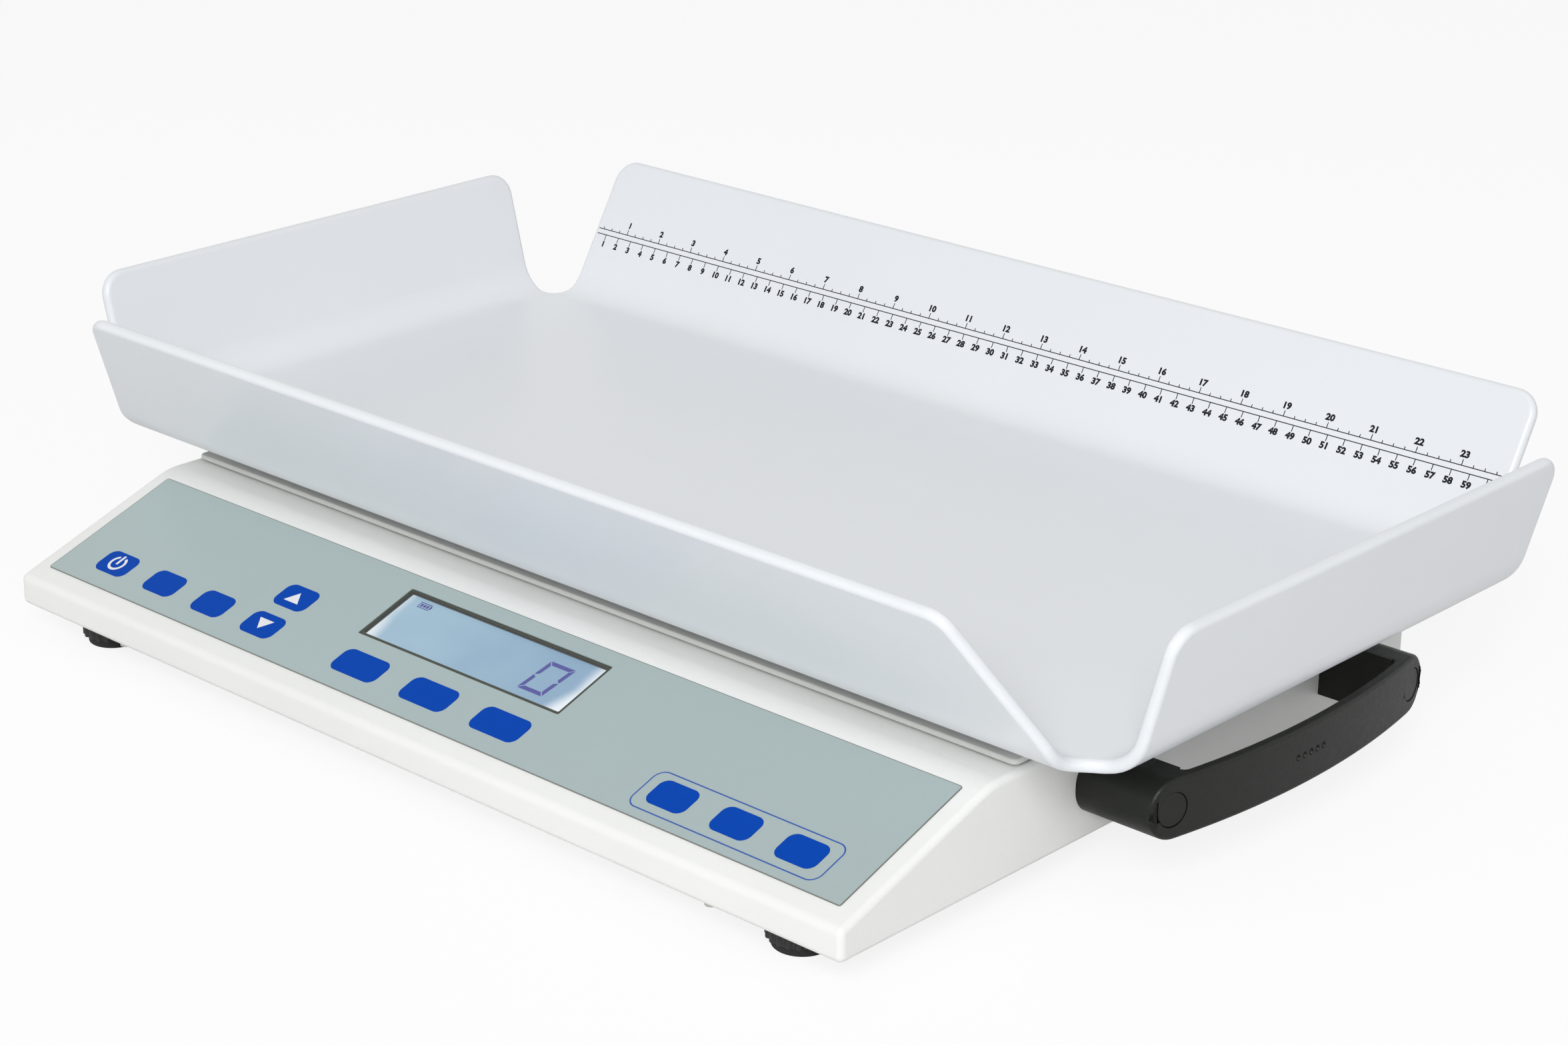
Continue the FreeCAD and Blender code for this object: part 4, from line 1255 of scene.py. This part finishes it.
    def _caps(self) -> BMesh:
        """Makes both caps, each trimmed a little under the bow.

        Returns:
            The caps.
        """
        bm, face = bmesh.new(), self.bow(self.bolt, self.radius - self.cap_drop)
        for y in (-self.bolt, self.bolt):
            made = drum(bm, self.cap_r, self.at(face - 5.0, y), self.at(face + 6.0, y), 64)
            edges, faces = {e for v in made for e in v.link_edges}, {f for v in made for f in v.link_faces}
            cut = bmesh.ops.bisect_plane(bm, geom=[*made, *edges, *faces], plane_co=self.at(face, y) * MM,
                                         plane_no=Vector((face - self.centre_x, y, 0.0)).normalized(),
                                         clear_outer=True, dist=1e-7)["geom_cut"]
            bmesh.ops.contextual_create(bm, geom=[g for g in cut if isinstance(g, BMEdge)])
        return bm


# ------------------------------------------------------------------ feet
@dataclass
class Feet:
    """Levelling feet: ribbed knob with its stud, and the rubber sole under it."""

    knob: Finish
    sole: Finish
    ribs: int = 20
    rib_depth: float = 1.1
    knob_h: float = 8.0
    stud_r: float = 3.9

    def build(self) -> None:
        """Builds all four."""
        for corner in ("fl", "fr", "bl", "br"):
            low, high = in_mm(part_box("foot_knob_" + corner))
            middle, radius = ((low + high) / 2).xy, (high.x - low.x) / 2
            knob_top, bm = low.z + self.knob_h, bmesh.new()
            rim = drum(bm, radius, Vector((*middle, low.z)), Vector((*middle, knob_top)), self.ribs * 4)
            for vert in rim:
                flat = vert.co.xy - middle * MM
                if round(math.atan2(flat.y, flat.x) / (math.pi / (2 * self.ribs))) % 4 in (2, 3):
                    vert.co.xy = middle * MM + flat * (1.0 - self.rib_depth / radius)
            drum(bm, self.stud_r, Vector((*middle, knob_top - 0.5)), Vector((*middle, high.z)), 32)
            knob = make_piece(bm, "knob_" + corner, self.knob, "knob_" + corner, "black_plastic",
                              ("foot_knob_" + corner,), 30.0)
            soften(knob, 0.5, 3, 55.0)
            low, high = in_mm(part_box("foot_sole_" + corner))
            bm = bmesh.new()
            drum(bm, (high.x - low.x) / 2, Vector((*middle, low.z)), Vector((*middle, high.z)), 56)
            soften(make_piece(bm, "sole_" + corner, self.sole, "sole_" + corner, "rubber_black",
                              ("foot_sole_" + corner,)), 0.8)


# ------------------------------------------------------------------ studio
@dataclass
class Studio:
    """Pale floor, soft lights and the camera.

    The floor, the lights and what they aim at are in metres and watts, the camera's angles in degrees.
    """

    eye: tuple[float, float, float] = (1055.82, -1115.55, 655.16)
    azimuth: float = 42.57
    elevation: float = 20.96
    roll: float = 0.49
    lens: float = 77.38
    aim: tuple[float, float, float] = (0.0, 0.0, 0.1)
    lights: tuple = (("key", (1.8, -2.6, 2.3), 1.6, 92.0), ("front_fill", (0.9, -2.9, 1.2), 1.8, 1.0))
    floor_half: float = 30.0
    floor_glow: float = 0.85
    ambient: float = 0.46

    def build(self) -> None:
        """Builds the floor, the world, the lights and the camera."""
        self._floor()
        self._world()
        for light in self.lights:
            self._light(*light)
        self._camera()

    def _floor(self) -> None:
        """White floor that keeps the shadow."""
        bm, mesh = bmesh.new(), bpy.data.meshes.new("floor")
        bmesh.ops.create_grid(bm, x_segments=1, y_segments=1, size=self.floor_half)
        bm.to_mesh(mesh)
        bm.free()
        graph = Graph(bpy.data.materials.new("floor_paint"))
        seen = graph.value("ShaderNodeLightPath", {}, "Is Camera Ray")
        shade = graph.mix(seen, (0.88, 0.88, 0.88), WHITE[:3])
        matt = graph.value("ShaderNodeBsdfDiffuse", {"Color": shade})
        white = graph.value("ShaderNodeEmission", {"Color": WHITE, "Strength": 1.0})
        graph.end(graph.value("ShaderNodeMixShader", {0: seen * self.floor_glow, 1: matt, 2: white}))
        mesh.materials.append(graph.owner)
        floor = linked("floor", mesh)

    def _world(self) -> None:
        """Even white surround: full where it is seen, mirrored or looked through, and weaker as light."""
        bpy.context.scene.world = world = bpy.data.worlds.new("surround")
        graph = Graph(world, "ShaderNodeOutputWorld")
        path = graph.node("ShaderNodeLightPath", {})
        camera, glossy, through = (Val(graph, path.outputs[f"Is {kind} Ray"])
                                   for kind in ("Camera", "Glossy", "Transmission"))
        seen = camera.at_least(glossy).at_least(through)
        strength = graph.value("ShaderNodeMapRange", {"Value": seen, "To Min": self.ambient, "To Max": 1.0})
        graph.end(graph.value("ShaderNodeBackground", {"Color": WHITE, "Strength": strength}))

    def _light(self, name: str, place: Sequence[float], size: float, power: float) -> None:
        """Adds a soft square light that looks at the scale.

        Args:
            name: Its name.
            place: Where it stands.
            size: Length of its side.
            power: Its power.
        """
        data = bpy.data.lights.new(name, "AREA")
        data.shape, data.size, data.energy = "SQUARE", size, power
        lamp = linked(name, data)
        lamp.location = place
        lamp.rotation_euler = (Vector(self.aim) - Vector(place)).to_track_quat("-Z", "Y").to_euler()

    def _camera(self) -> None:
        """Adds the camera at its eye point, turned by its two angles and its roll."""
        a, e, r = (math.radians(v) for v in (self.azimuth, self.elevation, self.roll))
        back = Vector((math.sin(a) * math.cos(e), -math.cos(a) * math.cos(e), math.sin(e)))
        right = Vector((math.cos(a), math.sin(a), 0.0))
        up = back.cross(right)
        right, up = right * math.cos(r) + up * math.sin(r), up * math.cos(r) - right * math.sin(r)
        data = bpy.data.cameras.new("camera")
        data.sensor_width, data.lens, data.clip_end = 36.0, self.lens, 50.0
        camera = linked("camera", data)
        turn = Matrix((right, up, back)).transposed().to_4x4()
        camera.matrix_world = Matrix.Translation(vec(*self.eye)) @ turn
        bpy.context.scene.camera = camera


# ------------------------------------------------------------------ carried-over nodes
@dataclass
class Dresser:
    """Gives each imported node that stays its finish."""

    finishes: dict[str, Finish]
    rest: Finish

    def build(self) -> None:
        """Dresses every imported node."""
        for name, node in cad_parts.items():
            finish = self.finishes.get(name, self.rest)
            node.data.materials.clear()
            node.data.materials.append(finish.material())
            log.info("node %s: %s", name, finish.name)


def main() -> None:
    """Builds the whole scene in order."""
    bpy.context.scene.view_settings.view_transform = "Standard"
    d = Datum.read()
    sheet = FormedSheet("tray_white_sheet")
    grip = Moulding("grip_moulding", (0.0050, 0.0062, 0.0042), 0.7, 0.09, 0.40, 0.33)
    plastic = Moulding("black_moulding", (0.018, 0.018, 0.019), 0.5, 0.02, 0.55)
    rubber = Moulding("rubber", (0.014, 0.014, 0.014), 0.9, 0.05, 0.8)
    zinc = Metal("zinc_plate")
    finishes: dict[str, Finish] = {
        "label": Overlay("console_film", d), "window": ClearPane("clear_window", d),
        "display_glass": LitPane("lit_pane", d), "display_frame": plastic,
        "light_guide": Ink("light_guide_face", (0.8, 0.85, 0.9), 0.4, 0.2),
        "board": Circuit("circuit_board"), "board_posts": zinc, "key_switches": plastic,
        "load_cell": Metal("milled_alloy", (0.72, 0.72, 0.72), 0.28, (0.1, 1.0, 1.0), 0.8),
        "battery_bay": plastic, "batteries": Sleeve("battery_sleeve"), "battery_door": plastic,
        "door_rails": plastic, "power_socket": plastic, "tray": sheet, "tray_cups": sheet,
        "foot_bushes": Metal("weld_nut", (0.45, 0.44, 0.42), 0.4),
    }
    Dresser(finishes, zinc).build()
    Housing(d, PowderCoat("powder_coat")).build()
    # The platform cover's tint, darker than the housing's coat, is painted shade from the tray above it.
    Platform(d, PowderCoat("platform_coat_painted_shade", (0.70, 0.71, 0.68), 1.1, 0.09, 0.5), rubber).build()
    Ruler(d, Ink("ruler_ink", (0.02, 0.02, 0.03), 0.5)).build()
    Keypad(d, Ink("key_blue_ink"), Ink("key_white_ink", (0.85, 0.86, 0.88))).build()
    Display(d, Ink("display_ink", (0.035, 0.03, 0.25), 0.4, 0.25)).build()
    Handle(d, grip).build()
    Feet(plastic, rubber).build()
    Studio().build()


if __name__ == "__main__":
    main()
